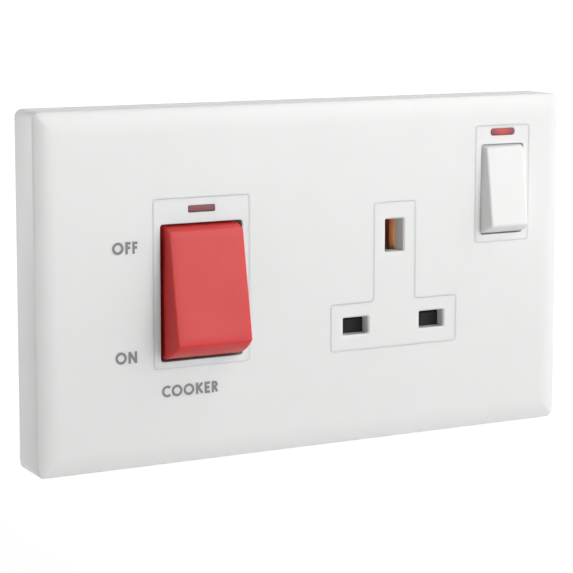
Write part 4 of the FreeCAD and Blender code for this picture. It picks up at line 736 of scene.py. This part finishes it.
def seen(tree):
    """1 for the rays that show a thing itself: straight from the camera, mirrored or through glass."""
    path = add(tree, "ShaderNodeLightPath")
    direct = add(tree, "ShaderNodeMath", {"operation": "MAXIMUM"},
                 {0: path.outputs["Is Camera Ray"], 1: path.outputs["Is Glossy Ray"]})
    through = add(tree, "ShaderNodeMath", {"operation": "MAXIMUM"},
                  {0: direct.outputs[0], 1: path.outputs["Is Transmission Ray"]})
    return through.outputs[0]


world = bpy.data.worlds.new("white studio")
scene.world = world
world.use_nodes = True
sky = world.node_tree
sky.nodes.clear()
level = add(sky, "ShaderNodeMapRange", {"To Min": AMBIENT, "To Max": 1.0}, {"Value": seen(sky)})
backdrop = add(sky, "ShaderNodeBackground", {"Color": linear("#FFFFFF")},
               {"Strength": level.outputs["Result"]})
add(sky, "ShaderNodeOutputWorld", None, {"Surface": backdrop.outputs["Background"]})

floor_finish, paper, paper_shader = fresh("white paper sweep")
paper_shader.inputs["Base Color"].default_value = linear("#EDEDED")
paper_shader.inputs["Roughness"].default_value = 0.9
paper_shader.inputs["Emission Color"].default_value = linear("#FFFFFF")
paper_place = add(paper, "ShaderNodeTexCoord")
away = add(paper, "ShaderNodeVectorMath", {"operation": "LENGTH"}, {0: paper_place.outputs["Object"]})
glow = add(paper, "ShaderNodeMapRange",
           {"From Min": GLOW_NEAR, "From Max": GLOW_FAR, "To Min": GLOW_LEAST, "To Max": 1.0},
           {"Value": away.outputs["Value"]})
paper_glow = add(paper, "ShaderNodeMath", {"operation": "MULTIPLY"},
                 {0: glow.outputs["Result"], 1: seen(paper)})
paper.links.new(paper_glow.outputs[0], paper_shader.inputs["Emission Strength"])
floor_mesh = bpy.data.meshes.new("floor")
floor_mesh.from_pydata([(-SPREAD, -SPREAD, FLOOR), (SPREAD, -SPREAD, FLOOR), (SPREAD, SPREAD, FLOOR),
                        (-SPREAD, SPREAD, FLOOR)], [], [(0, 1, 2, 3)])
floor_mesh.materials.append(floor_finish)
floor = bpy.data.objects.new("floor", floor_mesh)
scene.collection.objects.link(floor)
print("floor at", FLOOR, "m")

# %% [markdown]
# Each lamp is a square softbox 1.2 m wide, 1.2 m from the object. Its place is given as a turn from
# straight in front, positive to the right, and a rise above the horizon, and it looks at the origin.

# %% Lamps
BOX_WIDE, BOX_AWAY = 1.2, 1.2


def softbox(name, turn, rise, power):
    """A square area lamp on the line (cos rise sin turn, -cos rise cos turn, sin rise) from the origin."""
    turn, rise = math.radians(turn), math.radians(rise)
    way = Vector((math.cos(rise) * math.sin(turn), -math.cos(rise) * math.cos(turn), math.sin(rise)))
    data = bpy.data.lights.new(name, "AREA")
    data.shape = "SQUARE"
    data.size = BOX_WIDE
    data.energy = power
    lamp = bpy.data.objects.new(name, data)
    scene.collection.objects.link(lamp)
    lamp.location = BOX_AWAY * way
    lamp.rotation_euler = (-way).to_track_quat("-Z", "Y").to_euler()


softbox("key", turn=50, rise=45, power=5.0)
softbox("front", turn=20, rise=12, power=10.3)
softbox("right", turn=80, rise=12, power=3.6)
softbox("left", turn=-95, rise=10, power=1.5)
softbox("left rear", turn=-130, rise=12, power=6.3)

# %% [markdown]
# ## Camera
# The picture was taken from the left and a little above, with a long lens, and its upright edges stay
# parallel, as a view camera with a lowered front makes them. A small downward shift does part of that: a
# full one would push the object out of the frame when the camera moves round it.

# %% Camera
CAMERA_DOWN, CAMERA_RIGHT = 7.453, 27.966
camera_data = bpy.data.cameras.new("catalogue camera")
camera_data.sensor_width = 36.0
camera_data.lens = 129.28
camera_data.shift_y = -0.1
camera = bpy.data.objects.new("catalogue camera", camera_data)
scene.collection.objects.link(camera)
camera.location = (-0.24133, -0.45246, 0.07733)
camera.rotation_euler = (math.radians(90 - CAMERA_DOWN), 0.0, math.radians(-CAMERA_RIGHT))
scene.camera = camera
print("camera", [round(v, 3) for v in camera.location])
